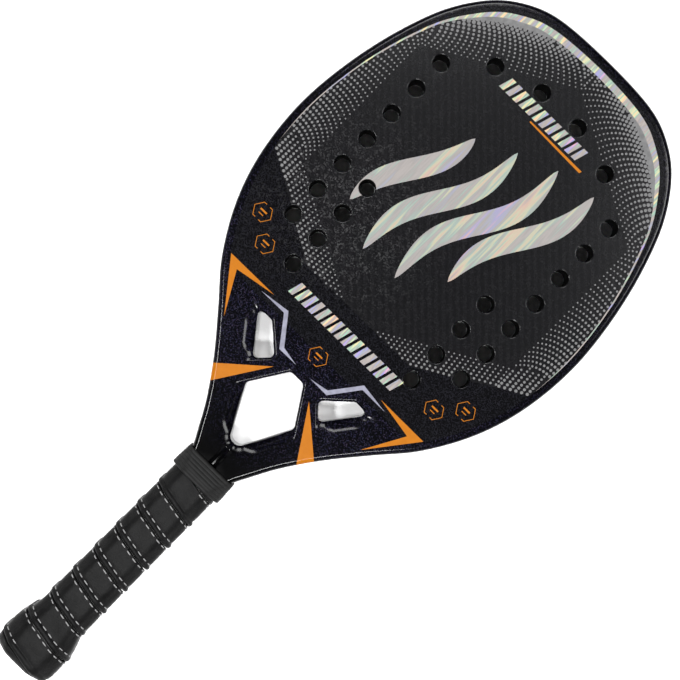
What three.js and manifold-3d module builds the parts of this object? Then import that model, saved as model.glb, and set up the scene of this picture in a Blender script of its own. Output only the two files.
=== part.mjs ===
// A beach tennis racket, lying on its back: a moulded carbon tube frame with a three-opening throat,
// a foam core between two drilled face sheets, and an eight-sided handle wound with a stitched strip.
// Lengths are in millimetres. +Y runs up the racket to the tip, +X across it, +Z out of the front face.

import * as THREE from 'three';
import { mergeVertices } from 'three/addons/utils/BufferGeometryUtils.js';
import Module from 'manifold-3d';

const wasm = await Module();
wasm.setup();

// Overall sizes
const racketLength = 500;
const handleLength = 164.5;
const headWidth = 226;
const headThickness = 22;

// Clearance between pieces, and how far a cutter runs past what it cuts
const fit = 0.3;
const overrun = 5;

// Frame tube
const hoopTubeWidth = 14;
const armTubeWidth = 20;
const neckTubeWidth = 13;
const tubeWall = 1.5;
const edgeRound = 3;

// Face sheets and core
const faceThickness = 0.8;
const rimWidth = 5;
const holeDiameter = 10.3;
const holePitch = 20.85;
const outerColumnFirstRow = 1;
const innerColumnFirstRow = 0;

// Neck and stems, inside the collar and the handle
const neckWidth = 32;
const stemSpan = 22.4;
const stemDepth = 17;
const stemGap = 3;
const neckTaper = 13.5;
const neckSlope = 11;
const stemPlugLength = 18;

// Handle: eight-sided section measured over the grip strip, and its flared end
const gripWidth = 31.8;
const gripDepth = 29.8;
const gripCornerCut = 6.7;
const cornerSoftShare = 0.3;
const pitch = 18.2;
const stripGap = 0.6;
const stripThickness = 1.9;
const weltWidth = 3.2;
const weltHeight = 0.8;
const shortestStripWidth = 2.5;
const weltHeightOnRight = 130.1;
const flareGrowth = 4.45;
const flareRound = 5.5;
const flareStraight = 11;
const flareRise = 19;
const flareEaseShare = 0.35;
const gripFold = 4.2;

// Butt cap, its plug, the finishing tape and the collar band
const capFloor = 3.3;
const capLip = 0.8;
const capCornerEase = 2;
const plugDiameter = 10;
const plugHeadDiameter = 14;
const plugHeadThickness = 1.5;
const palletInset = 0.5;
const collarHeight = 14.5;
const gripUnderCollar = 4;
const tapeThickness = 0.4;
const tapeWidth = 3.6;
const collarWall = 1.2;
const collarTopCut = 2;
const collarRibs = 6;
const ribHeight = 0.35;

// Outline of the head and the arms, from the widest part of the neck to the tip.
// Each row is a share of the head's length above the handle and a share of half the head's width.
const outlineShares = [
  [0.0322, 0.1914], [0.0764, 0.2639], [0.143, 0.4017], [0.2095, 0.5652], [0.2759, 0.7324],
  [0.3645, 0.8812], [0.4531, 0.9648], [0.5639, 1], [0.6746, 0.9706], [0.7854, 0.8938],
  [0.874, 0.789], [0.9405, 0.643], [0.975, 0.497], [0.9925, 0.35],
];

// Throat openings: corners of the right half, as shares of half the head's width and the head's length
const middleOpeningShares = [[0.046, 0.2155], [0.176, 0.1472], [0.031, 0.0552]];
const sideOpeningShares = [[0.407, 0.2573], [0.307, 0.2573], [0.162, 0.2131], [0.2403, 0.1851]];
const openingRound = 3.4;
const footRound = 5.4;

// Cuts that ease the arms' inner sides down to the openings: width on the face, depth at the opening
const easingCuts = [{ width: 8.5, depth: 2.7 }, { width: 5.2, depth: 5.2 }];
const jointReach = 3;
const gussetReach = 8;
const gussetHalfWidth = 6;

// Heights on the head, as shares of its length: core's lower edge and face sheets' lower edge
const coreBottomShare = 0.307;
const faceBottomShare = 0.272;

// Holes: upright columns, whose rows start at one height and end below a height of their own, and
// the holes above them. Distances across are shares of half the head's width.
const outerColumnShare = 0.6177;
const innerColumnShare = 0.4354;
const firstHoleRowShare = 0.355;
const outerColumnTopShare = 0.8;
const innerColumnTopShare = 0.56;
const topHoleShares = [[0.402, 0.8528], [0.131, 0.8776]];

// Smoothness
const outlineSteps = 92;
const boreSteps = 56;
const bevelSteps = 2;
const curveSteps = 4;
const holeCurveSteps = 7;
const turnSteps = 24;
const flareSteps = 6;
const roundSteps = 3;
const stripSteps = 3;
const bendStretch = 14;
const searchRounds = 24;

// Sizes that follow from the ones above
const headLength = racketLength - handleLength;
const halfHead = headWidth / 2;
const halfThickness = headThickness / 2;
const coreHalfThickness = halfThickness - faceThickness;
const neckBottom = handleLength - neckTaper;
const coreBottom = onHead(coreBottomShare);
const faceBottom = onHead(faceBottomShare);
const stemWidth = (stemSpan - stemGap) / 2;
const stripWidth = pitch - stripGap;
const capEnd = stripThickness + fit;
const stemEnd = capEnd + capFloor + fit;
const gripStand = stripThickness + fit;
const cornerGrowthShare = 2 - Math.SQRT2;
const palletHalfWidth = gripWidth / 2 - gripStand;
const palletHalfDepth = gripDepth / 2 - gripStand;
const palletCornerCut = gripCornerCut - gripStand * cornerGrowthShare;
const palletTop = neckBottom - palletInset;
const collarBottom = handleLength - collarHeight;
const gripTop = collarBottom + gripUnderCollar;
const flareLow = capEnd + flareRound;
const flareHigh = flareLow + flareStraight;
const flareTop = flareHigh + flareRise;
const tapeGrowth = gripStand + fit;
const collarGrowth = tapeGrowth + tapeThickness + fit;

// Materials
const carbon = new THREE.MeshStandardMaterial({ color: 0x0b0b10, roughness: 0.25, metalness: 0 });
const carbonFace = new THREE.MeshStandardMaterial({ color: 0x17171b, roughness: 0.45, metalness: 0 });
const foam = new THREE.MeshStandardMaterial({ color: 0x1c1c1c, roughness: 0.9, metalness: 0 });
const handleFoam = new THREE.MeshStandardMaterial({ color: 0x3a3a3a, roughness: 0.85, metalness: 0 });
const plastic = new THREE.MeshStandardMaterial({ color: 0x101010, roughness: 0.5, metalness: 0 });
const leather = new THREE.MeshStandardMaterial({ color: 0x2d2d2d, roughness: 0.75, metalness: 0 });
const tape = new THREE.MeshStandardMaterial({ color: 0x151515, roughness: 0.6, metalness: 0 });
const rubber = new THREE.MeshStandardMaterial({ color: 0x262626, roughness: 0.85, metalness: 0 });

// Height above the butt of a place on the head
function onHead(share) {
  return handleLength + share * headLength;
}

function point(x, y) {
  return new THREE.Vector2(x, y);
}

// A closed solid from a geometry, and a geometry from a solid
function toSolid(source) {
  const bare = source.clone();
  bare.deleteAttribute('normal');
  bare.deleteAttribute('uv');
  const merged = mergeVertices(bare);
  const mesh = new wasm.Mesh({
    numProp: 3,
    vertProperties: new Float32Array(merged.attributes.position.array),
    triVerts: new Uint32Array(merged.index.array),
  });
  return new wasm.Manifold(mesh);
}

function solidPlate(shape, low, high) {
  return toSolid(plate(shape, low, high));
}

function toGeometry(solid) {
  const mesh = solid.getMesh();
  const geometry = new THREE.BufferGeometry();
  geometry.setAttribute('position', new THREE.BufferAttribute(mesh.vertProperties, mesh.numProp));
  geometry.setIndex(new THREE.BufferAttribute(mesh.triVerts, 1));
  return geometry;
}

// A closed skin through rings of points; the flat sections, anticlockwise, close its two ends
function loft(rings, section, lastSection = section) {
  const count = section.length;
  const positions = rings.flat().flatMap((corner) => [corner.x, corner.y, corner.z]);
  const faces = [];
  for (let ring = 0; ring + 1 < rings.length; ring += 1) {
    for (let side = 0; side < count; side += 1) {
      const a = ring * count + side;
      const b = ring * count + (side + 1) % count;
      faces.push([a, b, b + count], [a, b + count, a + count]);
    }
  }
  const last = (rings.length - 1) * count;
  for (const [a, b, c] of THREE.ShapeUtils.triangulateShape(section, [])) faces.push([a, c, b]);
  for (const face of THREE.ShapeUtils.triangulateShape(lastSection, [])) {
    faces.push(face.map((corner) => last + corner));
  }
  const outward = volumeOf(positions, faces) > 0 ? faces : faces.map(([a, b, c]) => [a, c, b]);
  const geometry = new THREE.BufferGeometry();
  geometry.setAttribute('position', new THREE.Float32BufferAttribute(positions, 3));
  geometry.setIndex(outward.flat());
  return geometry;
}

function volumeOf(positions, faces) {
  const corner = (index) => new THREE.Vector3().fromArray(positions, index * 3);
  return faces.reduce((sum, [a, b, c]) => sum + corner(a).dot(corner(b).cross(corner(c))) / 6, 0);
}

// A plate between two heights, with square edges
function plate(shape, low, high, steps = curveSteps) {
  const options = { depth: high - low, bevelEnabled: false, curveSegments: steps };
  return new THREE.ExtrudeGeometry(shape, options).translate(0, 0, low);
}

// A cutter through the whole thickness
function throughCutter(points) {
  const reach = halfThickness + overrun;
  return solidPlate(new THREE.Shape(points), -reach, reach);
}

function box(lowX, highX, lowY, highY, lowZ, highZ) {
  const geometry = new THREE.BoxGeometry(highX - lowX, highY - lowY, highZ - lowZ);
  return geometry.translate((lowX + highX) / 2, (lowY + highY) / 2, (lowZ + highZ) / 2);
}

// Edge of the frame, from the left neck round the tip to the right neck
function makeEdgeCurve() {
  const right = [
    [stemSpan / 2, neckBottom],
    [neckWidth / 2, handleLength],
    ...outlineShares.map(([along, across]) => [across * halfHead, onHead(along)]),
  ];
  const left = right.map(([x, y]) => [-x, y]);
  const corners = [...left, [0, racketLength], ...right.reverse()];
  const places = corners.map(([x, y]) => new THREE.Vector3(x, y, 0));
  return new THREE.CatmullRomCurve3(places, false, 'centripetal');
}

const edgeCurve = makeEdgeCurve();

// Points of the frame's edge, moved inward by an inset that may change with height
function edgePoints(insetAt, steps = outlineSteps) {
  const points = [];
  for (let step = 0; step <= steps; step += 1) {
    const place = edgeCurve.getPointAt(step / steps);
    const along = edgeCurve.getTangentAt(step / steps);
    const inset = insetAt(place.y);
    points.push(point(place.x + along.y * inset, place.y - along.x * inset));
  }
  return points;
}

// The stretch of a run of edge points above a height, ending exactly at that height on both sides
function clippedAbove(points, height) {
  const first = points.findIndex((place) => place.y > height);
  const last = points.findLastIndex((place) => place.y > height);
  return [
    crossing(points[first - 1], points[first], height),
    ...points.slice(first, last + 1),
    crossing(points[last], points[last + 1], height),
  ];
}

function crossing(from, to, height) {
  return from.clone().lerp(to, (height - from.y) / (to.y - from.y));
}

// A polygon moved outward on all sides; its corners run anticlockwise
function grown(corners, distance) {
  return corners.map((corner, index) => {
    const before = corners.at(index - 1);
    const after = corners[(index + 1) % corners.length];
    const arriving = corner.clone().sub(before).normalize();
    const leaving = after.clone().sub(corner).normalize();
    const outward = point(arriving.y + leaving.y, -arriving.x - leaving.x).normalize();
    const stretch = outward.x * arriving.y - outward.y * arriving.x;
    return corner.clone().addScaledVector(outward, distance / stretch);
  });
}

// A closed path with rounded corners
function roundedPath(corners, radiusAt) {
  const path = new THREE.Path();
  corners.forEach((corner, index) => {
    const before = corners.at(index - 1).clone().sub(corner).normalize();
    const after = corners[(index + 1) % corners.length].clone().sub(corner).normalize();
    const reach = radiusAt(corner) / Math.tan(Math.acos(before.dot(after)) / 2);
    const start = corner.clone().addScaledVector(before, reach);
    const end = corner.clone().addScaledVector(after, reach);
    if (index === 0) path.moveTo(start.x, start.y);
    else path.lineTo(start.x, start.y);
    path.quadraticCurveTo(corner.x, corner.y, end.x, end.y);
  });
  path.closePath();
  return path;
}

function mirrored(corners) {
  return corners.map((corner) => point(-corner.x, corner.y)).reverse();
}

function centreOf(corners) {
  const sum = corners.reduce((total, corner) => total.add(corner), point(0, 0));
  return sum.divideScalar(corners.length);
}

function towards(corner, target, reach) {
  return corner.clone().addScaledVector(target.clone().sub(corner).normalize(), reach);
}

// Throat openings
const throatCorners = (shares) => shares.map(([across, along]) => point(across * halfHead, onHead(along)));
const [middleTop, middleSide, middleFoot] = throatCorners(middleOpeningShares);
const middleOpening = [
  ...mirrored([middleFoot, middleSide, middleTop]),
  middleFoot, middleSide, middleTop,
];
const sideOpening = throatCorners(sideOpeningShares);
const [sideOuter, , sideInner, sideFoot] = sideOpening;
const openings = [middleOpening, sideOpening, mirrored(sideOpening)];
const middleCentre = centreOf(middleOpening);
const sideCentre = centreOf(sideOpening);

// Joint lines between the throat's pieces start and end inside the openings
const strutFootInner = towards(middleSide, middleCentre, jointReach);
const strutFootOuter = towards(sideFoot, sideCentre, jointReach);
const strutHeadOuter = towards(sideInner, sideCentre, jointReach);
const strutHeadInner = towards(middleTop, middleCentre, jointReach);
const bridgeEnd = towards(sideOuter, sideCentre, jointReach);

// Width of the frame's tube at a height: stems, neck, arms, then the hoop round the head
const armLow = middleFoot.y + stemWidth;
const armHigh = sideFoot.y;
const tubeStations = [
  [neckBottom, stemWidth], [handleLength, neckTubeWidth], [armLow, armTubeWidth],
  [armHigh, armTubeWidth], [coreBottom, hoopTubeWidth],
];

function tubeWidthAt(height) {
  const above = tubeStations.findIndex(([station]) => station > height);
  if (above === 0) return tubeStations[0][1];
  if (above < 0) return tubeStations.at(-1)[1];
  const [lowHeight, lowWidth] = tubeStations[above - 1];
  const [highHeight, highWidth] = tubeStations[above];
  return THREE.MathUtils.mapLinear(height, lowHeight, highHeight, lowWidth, highWidth);
}

const coreEdge = clippedAbove(edgePoints(() => hoopTubeWidth + fit), coreBottom + fit);
const coreWindow = clippedAbove(edgePoints(() => hoopTubeWidth), coreBottom);

// Regions that the throat's pieces are cut from, anticlockwise
const strutRegion = [strutFootInner, strutFootOuter, strutHeadOuter, strutHeadInner];
const bridgeHalf = [strutHeadInner, strutHeadOuter, bridgeEnd, coreWindow.at(-1)];
const bridgeRegion = [...mirrored(bridgeHalf), ...bridgeHalf];
const gussetFoot = stemGap / 2 - fit;
const gussetTop = middleFoot.y + gussetReach;
const gussetHalf = [
  point(gussetFoot, palletTop),
  point(gussetFoot, handleLength),
  point(gussetHalfWidth, gussetTop),
];
const gussetRegion = [...mirrored(gussetHalf), ...gussetHalf];

// The middle opening's foot is rounder than the other corners of the openings
function cornerRound(corner) {
  return corner.y === middleFoot.y ? footRound : openingRound;
}

// A wedge with slanting ends that slopes one side of an opening down to it, on the front or the back
function easingCutter([start, end], { width, depth }, side) {
  const along = end.clone().sub(start).normalize();
  const corner = (from, forward, outward, height) => [
    from.x + along.x * forward + along.y * outward,
    from.y + along.y * forward - along.x * outward,
    side * height,
  ];
  const above = halfThickness + overrun;
  const endCorners = (from, slant) => [
    corner(from, slant, -fit, halfThickness - depth),
    corner(from, 0, -fit, halfThickness),
    corner(from, 0, -fit, above),
    corner(from, 0, width, halfThickness),
    corner(from, 0, width, above),
  ];
  return wasm.Manifold.hull([...endCorners(start, depth), ...endCorners(end, -depth)]);
}

// All easing cuts: one side of each opening, from its foot up to its outer corner
function easingCutters() {
  const rightSides = [[middleFoot, middleSide], [sideFoot, sideOuter]];
  const sides = [...rightSides, ...rightSides.map(mirrored)];
  return sides.flatMap((ends) => easingCuts.flatMap((cut) => [
    easingCutter(ends, cut, 1),
    easingCutter(ends, cut, -1),
  ]));
}

// The whole frame as one plate with rounded edges, before it is parted into pieces
function wholePlate() {
  const shape = new THREE.Shape([
    point(-stemSpan / 2, stemEnd),
    ...edgePoints(() => 0),
    point(stemSpan / 2, stemEnd),
  ]);
  shape.holes = openings.map((corners) => roundedPath(corners, cornerRound));
  const geometry = new THREE.ExtrudeGeometry(shape, {
    depth: headThickness - 2 * edgeRound,
    bevelThickness: edgeRound,
    bevelSize: edgeRound,
    bevelOffset: -edgeRound,
    bevelSegments: bevelSteps,
    curveSegments: curveSteps,
  });
  const whole = toSolid(geometry.translate(0, 0, edgeRound - halfThickness));
  return easingCutters().reduce((solid, cutter) => solid.subtract(cutter), whole);
}

// Outline of a face sheet, or of the recess that it lies in
function faceOutline(clearance) {
  const insetAt = () => rimWidth - clearance;
  return clippedAbove(edgePoints(insetAt), faceBottom - clearance);
}

// Recesses for both face sheets
function faceRecesses() {
  const shape = new THREE.Shape(faceOutline(fit));
  const front = solidPlate(shape, coreHalfThickness, halfThickness + overrun);
  const back = solidPlate(shape, -halfThickness - overrun, -coreHalfThickness);
  return front.add(back);
}

// Eight-cornered ring of the tube's bore, square to the tube's run
function boreRing(place, across, halfWidth, halfHeight) {
  const cut = Math.min(halfWidth, halfHeight) / 2;
  return boreSection(halfWidth, halfHeight, cut).map(({ x, y }) => new THREE.Vector3(
    place.x + across.x * x,
    place.y + across.y * x,
    y,
  ));
}

function boreSection(halfWidth, halfHeight, cut) {
  const quarter = [point(halfWidth, halfHeight - cut), point(halfWidth - cut, halfHeight)];
  const upper = [...quarter, ...mirrored(quarter)];
  return [...upper, ...upper.map((corner) => point(-corner.x, -corner.y))];
}

const boreHalfHeight = coreHalfThickness - tubeWall;
const stemBoreHalfHeight = stemDepth / 2 - tubeWall;
const stemBoreHalfWidth = stemWidth / 2 - tubeWall;
const stemCentre = (stemGap + stemWidth) / 2;

function boreHalfHeightAt(height) {
  const top = handleLength + neckSlope;
  const within = THREE.MathUtils.clamp(height, neckBottom, top);
  return THREE.MathUtils.mapLinear(within, neckBottom, top, stemBoreHalfHeight, boreHalfHeight);
}

// The tube's bore: up the left stem, round the head and down the right stem, open at both lower ends
function tubeBore() {
  const outer = edgePoints(() => 0, boreSteps);
  const middle = edgePoints((height) => tubeWidthAt(height) / 2, boreSteps);
  const round = middle.map((place, index) => {
    const across = place.clone().sub(outer[index]).normalize();
    const halfWidth = tubeWidthAt(outer[index].y) / 2 - tubeWall;
    return boreRing(place, across, halfWidth, boreHalfHeightAt(outer[index].y));
  });
  const stemRing = (side) => boreRing(
    point(side * stemCentre, stemEnd - overrun),
    point(-side, 0),
    stemBoreHalfWidth,
    stemBoreHalfHeight,
  );
  const section = boreSection(stemBoreHalfWidth, stemBoreHalfHeight, stemBoreHalfWidth / 2);
  return toSolid(loft([stemRing(-1), ...round, stemRing(1)], section));
}

// What is taken off the front and the back of the stems, sloping out to the full thickness at the neck
function stemRelief(side) {
  const profile = new THREE.Shape([
    point(stemEnd - overrun, side * stemDepth / 2),
    point(neckBottom, side * stemDepth / 2),
    point(neckBottom + neckSlope, side * halfThickness),
    point(neckBottom + neckSlope, side * (halfThickness + overrun)),
    point(stemEnd - overrun, side * (halfThickness + overrun)),
  ]);
  const reach = neckWidth / 2 + overrun;
  const geometry = new THREE.ExtrudeGeometry(profile, { depth: 2 * reach, bevelEnabled: false });
  const turned = new THREE.Matrix4().makeBasis(
    new THREE.Vector3(0, 1, 0),
    new THREE.Vector3(0, 0, 1),
    new THREE.Vector3(1, 0, 0),
  );
  return toSolid(geometry.applyMatrix4(turned).translate(-reach, 0, 0));
}

const frameWhole = wholePlate();
const recesses = faceRecesses();

function makeFrameTube() {
  const halfGap = stemGap / 2;
  const reach = halfThickness + overrun;
  const stemSlot = toSolid(box(-halfGap, halfGap, stemEnd - overrun, palletTop, -reach, reach));
  return [
    throughCutter(coreWindow),
    throughCutter(grown(bridgeRegion, fit)),
    throughCutter(grown(strutRegion, fit)),
    throughCutter(grown(mirrored(strutRegion), fit)),
    throughCutter(grown(gussetRegion, fit)),
    stemSlot,
    recesses,
    stemRelief(1),
    stemRelief(-1),
    tubeBore(),
  ].reduce((solid, cutter) => solid.subtract(cutter), frameWhole);
}

function makeBridge() {
  return frameWhole
    .intersect(throughCutter(bridgeRegion))
    .subtract(throughCutter(grown(strutRegion, fit)))
    .subtract(throughCutter(grown(mirrored(strutRegion), fit)))
    .subtract(recesses);
}

function makeStrut(side) {
  const region = side > 0 ? strutRegion : mirrored(strutRegion);
  return frameWhole.intersect(throughCutter(region));
}

function makeGusset() {
  return frameWhole
    .intersect(throughCutter(gussetRegion))
    .subtract(stemRelief(1))
    .subtract(stemRelief(-1));
}

function holeColumn(acrossShare, firstRow, topShare) {
  const lastRow = Math.floor((onHead(topShare) - onHead(firstHoleRowShare)) / holePitch);
  const column = [];
  for (let row = firstRow; row <= lastRow; row += 1) {
    column.push(point(acrossShare * halfHead, onHead(firstHoleRowShare) + row * holePitch));
  }
  return column;
}

// Centres of the holes through the faces and the core
function holeCentres() {
  const right = [
    ...holeColumn(outerColumnShare, outerColumnFirstRow, outerColumnTopShare),
    ...holeColumn(innerColumnShare, innerColumnFirstRow, innerColumnTopShare),
    ...topHoleShares.map(([across, along]) => point(across * halfHead, onHead(along))),
  ];
  return [...right, ...mirrored(right)];
}

// A drilled sheet between two heights
function drilledPlate(outline, low, high) {
  const shape = new THREE.Shape(outline);
  shape.holes = holeCentres().map((centre) => {
    const hole = new THREE.Path();
    hole.absarc(centre.x, centre.y, holeDiameter / 2, 0, 2 * Math.PI);
    return hole;
  });
  return plate(shape, low, high, holeCurveSteps);
}

// Ring of the handle's soft-edged, eight-sided section, in the plane across the handle
function handleSection(halfWidth, halfDepth, cornerCut) {
  const right = [point(halfWidth, halfDepth - cornerCut), point(halfWidth - cornerCut, halfDepth)];
  const upper = [...right, ...mirrored(right)];
  const corners = [...upper, ...upper.map((corner) => point(-corner.x, -corner.y))];
  return corners.flatMap((corner, index) => {
    const before = towards(corner, corners.at(index - 1), cornerCut * cornerSoftShare);
    const after = towards(corner, corners[(index + 1) % corners.length], cornerCut * cornerSoftShare);
    const middle = corner.clone().add(centreOf([before, after])).divideScalar(2);
    return [before, middle, after];
  });
}

// The same section grown outward from the pallets
function grownSection(growth) {
  const cut = palletCornerCut + growth * cornerGrowthShare;
  return handleSection(palletHalfWidth + growth, palletHalfDepth + growth, cut);
}

function ringAt(section, height) {
  return section.map(({ x, y }) => new THREE.Vector3(x, height, y));
}

function handleRing(growth, height) {
  return ringAt(grownSection(growth), height);
}

function handleLoft(stations) {
  return toSolid(loft(stations.map(([growth, height]) => handleRing(growth, height)), grownSection(0)));
}

// One half of the pallets, with a square channel for the stems
function makePallet(side) {
  const outer = handleLoft([[0, stemEnd], [0, palletTop]]);
  const halfSpan = stemSpan / 2 + fit;
  const halfChannel = stemDepth / 2 + fit;
  const low = stemEnd - overrun;
  const high = palletTop + overrun;
  const channel = box(-halfSpan, halfSpan, low, high, -halfChannel, halfChannel);
  const reach = palletHalfDepth + overrun;
  const far = side * reach;
  const near = -side * fit / 2;
  const otherHalf = box(-reach, reach, low, high, Math.min(-far, -near), Math.max(-far, -near));
  return outer.subtract(toSolid(channel)).subtract(toSolid(otherHalf));
}

// Run of the handle's surface: out over its end, round the flared edge and up to the collar.
// Across is the growth over the pallets, up is the height above the butt.
function makeHandleRun() {
  const run = new THREE.Path();
  const ease = flareRise * flareEaseShare;
  run.moveTo(flareGrowth - flareRound - gripFold, capEnd);
  run.lineTo(flareGrowth - flareRound, capEnd);
  run.absarc(flareGrowth - flareRound, flareLow, flareRound, -Math.PI / 2, 0);
  run.lineTo(flareGrowth, flareHigh);
  run.bezierCurveTo(flareGrowth, flareHigh + ease, 0, flareTop - ease, 0, flareTop);
  run.lineTo(0, gripTop);
  return run;
}

const handleRun = makeHandleRun();
const runLength = handleRun.getLength();

// Point at a distance along the run, lifted off the surface
function onRun(distance, lift) {
  const share = THREE.MathUtils.clamp(distance / runLength, 0, 1);
  const along = handleRun.getTangent(share);
  return handleRun.getPoint(share).add(point(along.y, -along.x).multiplyScalar(lift));
}

// Distance along the run, stretched where the run bends, so that even steps of it follow the bends
function stretched(distance) {
  const along = handleRun.getTangent(distance / runLength);
  return distance + bendStretch * Math.atan2(along.y, along.x);
}

function unstretched(value, low, high) {
  for (let round = 0; round < searchRounds; round += 1) {
    const middle = (low + high) / 2;
    if (stretched(middle) < value) low = middle;
    else high = middle;
  }
  return (low + high) / 2;
}

// Distances along the run at which the grip strip has its points: lower edge, top of the welt's
// slope, then even stretched steps to the upper edge
function stripPlaces(low, high) {
  const weltEdge = low + Math.min(weltWidth, (high - low) / 2);
  const places = [low, weltEdge];
  for (let step = 1; step < stripSteps; step += 1) {
    const value = THREE.MathUtils.lerp(stretched(weltEdge), stretched(high), step / stripSteps);
    places.push(unstretched(value, weltEdge, high));
  }
  return [...places, high];
}

// Flat section of the grip strip, anticlockwise: its outer side with the raised welt, then its back
function stripSection(low, high, welt) {
  const places = stripPlaces(low, high);
  const outer = places.map((place) => onRun(place, gripStand));
  outer.splice(1, 0, onRun((places[0] + places[1]) / 2, gripStand + welt));
  const back = places.filter((place, index) => index !== 1).map((place) => onRun(place, fit));
  return [...outer, ...back.reverse()];
}

// How far round the handle each corner of its section lies, as shares of the whole way round
function sectionShares() {
  const corners = grownSection(0);
  const lengths = corners.map((corner, index) => corner.distanceTo(corners.at(index - 1)));
  const whole = lengths.reduce((sum, length) => sum + length, 0);
  let travelled = -lengths[0];
  return lengths.map((length) => {
    travelled += length;
    return travelled / whole;
  });
}

// Height of the welt: none on the folded end, none under the collar band, full between them
function weltHeightAt(low) {
  const belowCollar = runLength - gripUnderCollar - weltWidth - low;
  const share = Math.min((low - gripFold) / flareRound, belowCollar / weltWidth);
  return weltHeight * THREE.MathUtils.clamp(share, 0, 1);
}

// The grip strip: one strip wound up the handle, folded over the butt and trimmed at both ends
function windingSections() {
  const shares = sectionShares();
  const lowestWelt = runLength - (gripTop - weltHeightOnRight) - weltWidth / 2;
  const sections = [];
  const firstTurn = Math.floor(-(lowestWelt + stripWidth) / pitch);
  const lastTurn = Math.ceil((runLength - lowestWelt) / pitch);
  for (let step = firstTurn * turnSteps; step <= lastTurn * turnSteps; step += 1) {
    const corner = THREE.MathUtils.euclideanModulo(step, turnSteps);
    const turn = Math.floor(step / turnSteps) + shares[corner];
    const low = lowestWelt + turn * pitch;
    const trimmedLow = Math.max(low, 0);
    const trimmedHigh = Math.min(low + stripWidth, runLength);
    if (trimmedHigh - trimmedLow < shortestStripWidth) continue;
    sections.push({ corner, section: stripSection(trimmedLow, trimmedHigh, weltHeightAt(low)) });
  }
  return sections;
}

function makeGripTape() {
  const sections = windingSections();
  const rings = sections.map(({ corner, section }) => section.map(({ x, y }) => {
    const across = grownSection(x)[corner];
    return new THREE.Vector3(across.x, y, across.y);
  }));
  console.log(`grip strip: least gap between turns ${leastTurnGap(rings).toFixed(2)} mm`);
  return loft(rings, sections[0].section, sections.at(-1).section);
}

// Least distance between the points of the strip and those of its next turn
function leastTurnGap(rings) {
  let least = Infinity;
  for (let ring = turnSteps; ring < rings.length; ring += 1) {
    for (const here of rings[ring]) {
      for (const below of rings[ring - turnSteps]) least = Math.min(least, here.distanceTo(below));
    }
  }
  return least;
}

// A disc across the handle's axis
function disc(diameter, low, high) {
  const geometry = new THREE.CylinderGeometry(diameter / 2, diameter / 2, high - low, turnSteps);
  return toSolid(geometry.translate(0, (low + high) / 2, 0));
}

// Rounded and flared outside of the butt cap, up to where only its lip stands over the pallets.
// Its corner is rounder than the strip's, so that the strip bends over it freely.
function capStations() {
  const stations = [];
  const round = flareRound + capCornerEase;
  for (let step = 0; step <= roundSteps; step += 1) {
    const angle = (Math.PI / 2) * (step / roundSteps);
    const growth = flareGrowth - round * (1 - Math.sin(angle));
    stations.push([growth, capEnd + round * (1 - Math.cos(angle))]);
  }
  const flare = handleRun.curves.at(-2).getPoints(flareSteps);
  const covered = flare.filter((place) => place.x > fit + capLip);
  return [...stations, ...covered.map((place) => [place.x, place.y])];
}

function makeButtCap() {
  const plugTop = capEnd + plugHeadThickness;
  return handleLoft(capStations())
    .subtract(handleLoft([[fit, capEnd + capFloor], [fit, flareTop + overrun]]))
    .subtract(disc(plugDiameter + 2 * fit, capEnd - overrun, capEnd + capFloor + overrun))
    .subtract(disc(plugHeadDiameter + 2 * fit, capEnd - overrun, plugTop + fit));
}

function makeButtCapPlug() {
  const head = disc(plugHeadDiameter, capEnd, capEnd + plugHeadThickness);
  return head.add(disc(plugDiameter, capEnd, capEnd + capFloor));
}

// A plug that fits the bore of one stem at its lower end
function makeStemPlug(side) {
  const halfWidth = stemBoreHalfWidth - fit;
  const halfHeight = stemBoreHalfHeight - fit;
  const section = boreSection(halfWidth, halfHeight, stemBoreHalfWidth / 2);
  const ring = (height) => section.map(({ x, y }) => (
    new THREE.Vector3(side * stemCentre + x, height, y)
  ));
  return loft([ring(stemEnd), ring(stemEnd + stemPlugLength)], section);
}

function makeStemSpacer() {
  const halfWidth = stemGap / 2 - fit;
  return box(-halfWidth, halfWidth, stemEnd, palletTop - fit, -stemDepth / 2, stemDepth / 2);
}

function makeFinishingTape() {
  const low = gripTop - tapeWidth;
  const outside = handleLoft([[tapeGrowth + tapeThickness, low], [tapeGrowth + tapeThickness, gripTop]]);
  const inside = handleLoft([[tapeGrowth, low - overrun], [tapeGrowth, gripTop + overrun]]);
  return outside.subtract(inside);
}

// Ring of the collar band: eight-sided and thick below, drawn in to the frame's neck at its top.
// The wall grows the section outward.
function collarRing(height, wall) {
  const rise = THREE.MathUtils.clamp((height - gripTop) / (handleLength - gripTop), 0, 1);
  const between = (low, high) => THREE.MathUtils.lerp(low, high, rise);
  const lowCut = palletCornerCut + (collarGrowth + wall) * cornerGrowthShare;
  return ringAt(handleSection(
    between(palletHalfWidth + collarGrowth, neckWidth / 2 + fit) + wall,
    between(palletHalfDepth + collarGrowth, halfThickness + fit) + wall,
    between(lowCut, collarTopCut + wall * cornerGrowthShare),
  ), height);
}

function makeCollarBand() {
  const section = grownSection(0);
  const outer = [];
  const ribSteps = 2 * collarRibs;
  for (let step = 0; step <= ribSteps; step += 1) {
    const height = THREE.MathUtils.lerp(collarBottom, handleLength, step / ribSteps);
    outer.push(collarRing(height, collarWall + (step % 2) * ribHeight));
  }
  const heights = [collarBottom - overrun, gripTop + fit, handleLength + overrun];
  const inner = heights.map((height) => collarRing(height, 0));
  return toSolid(loft(outer, section)).subtract(toSolid(loft(inner, section)));
}

// The racket's pieces, each a named mesh
const racket = new THREE.Group();

function addPiece(name, shape, material) {
  const geometry = shape.isBufferGeometry ? shape : toGeometry(shape);
  const mesh = new THREE.Mesh(geometry, material);
  mesh.name = name;
  racket.add(mesh);
}

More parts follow.
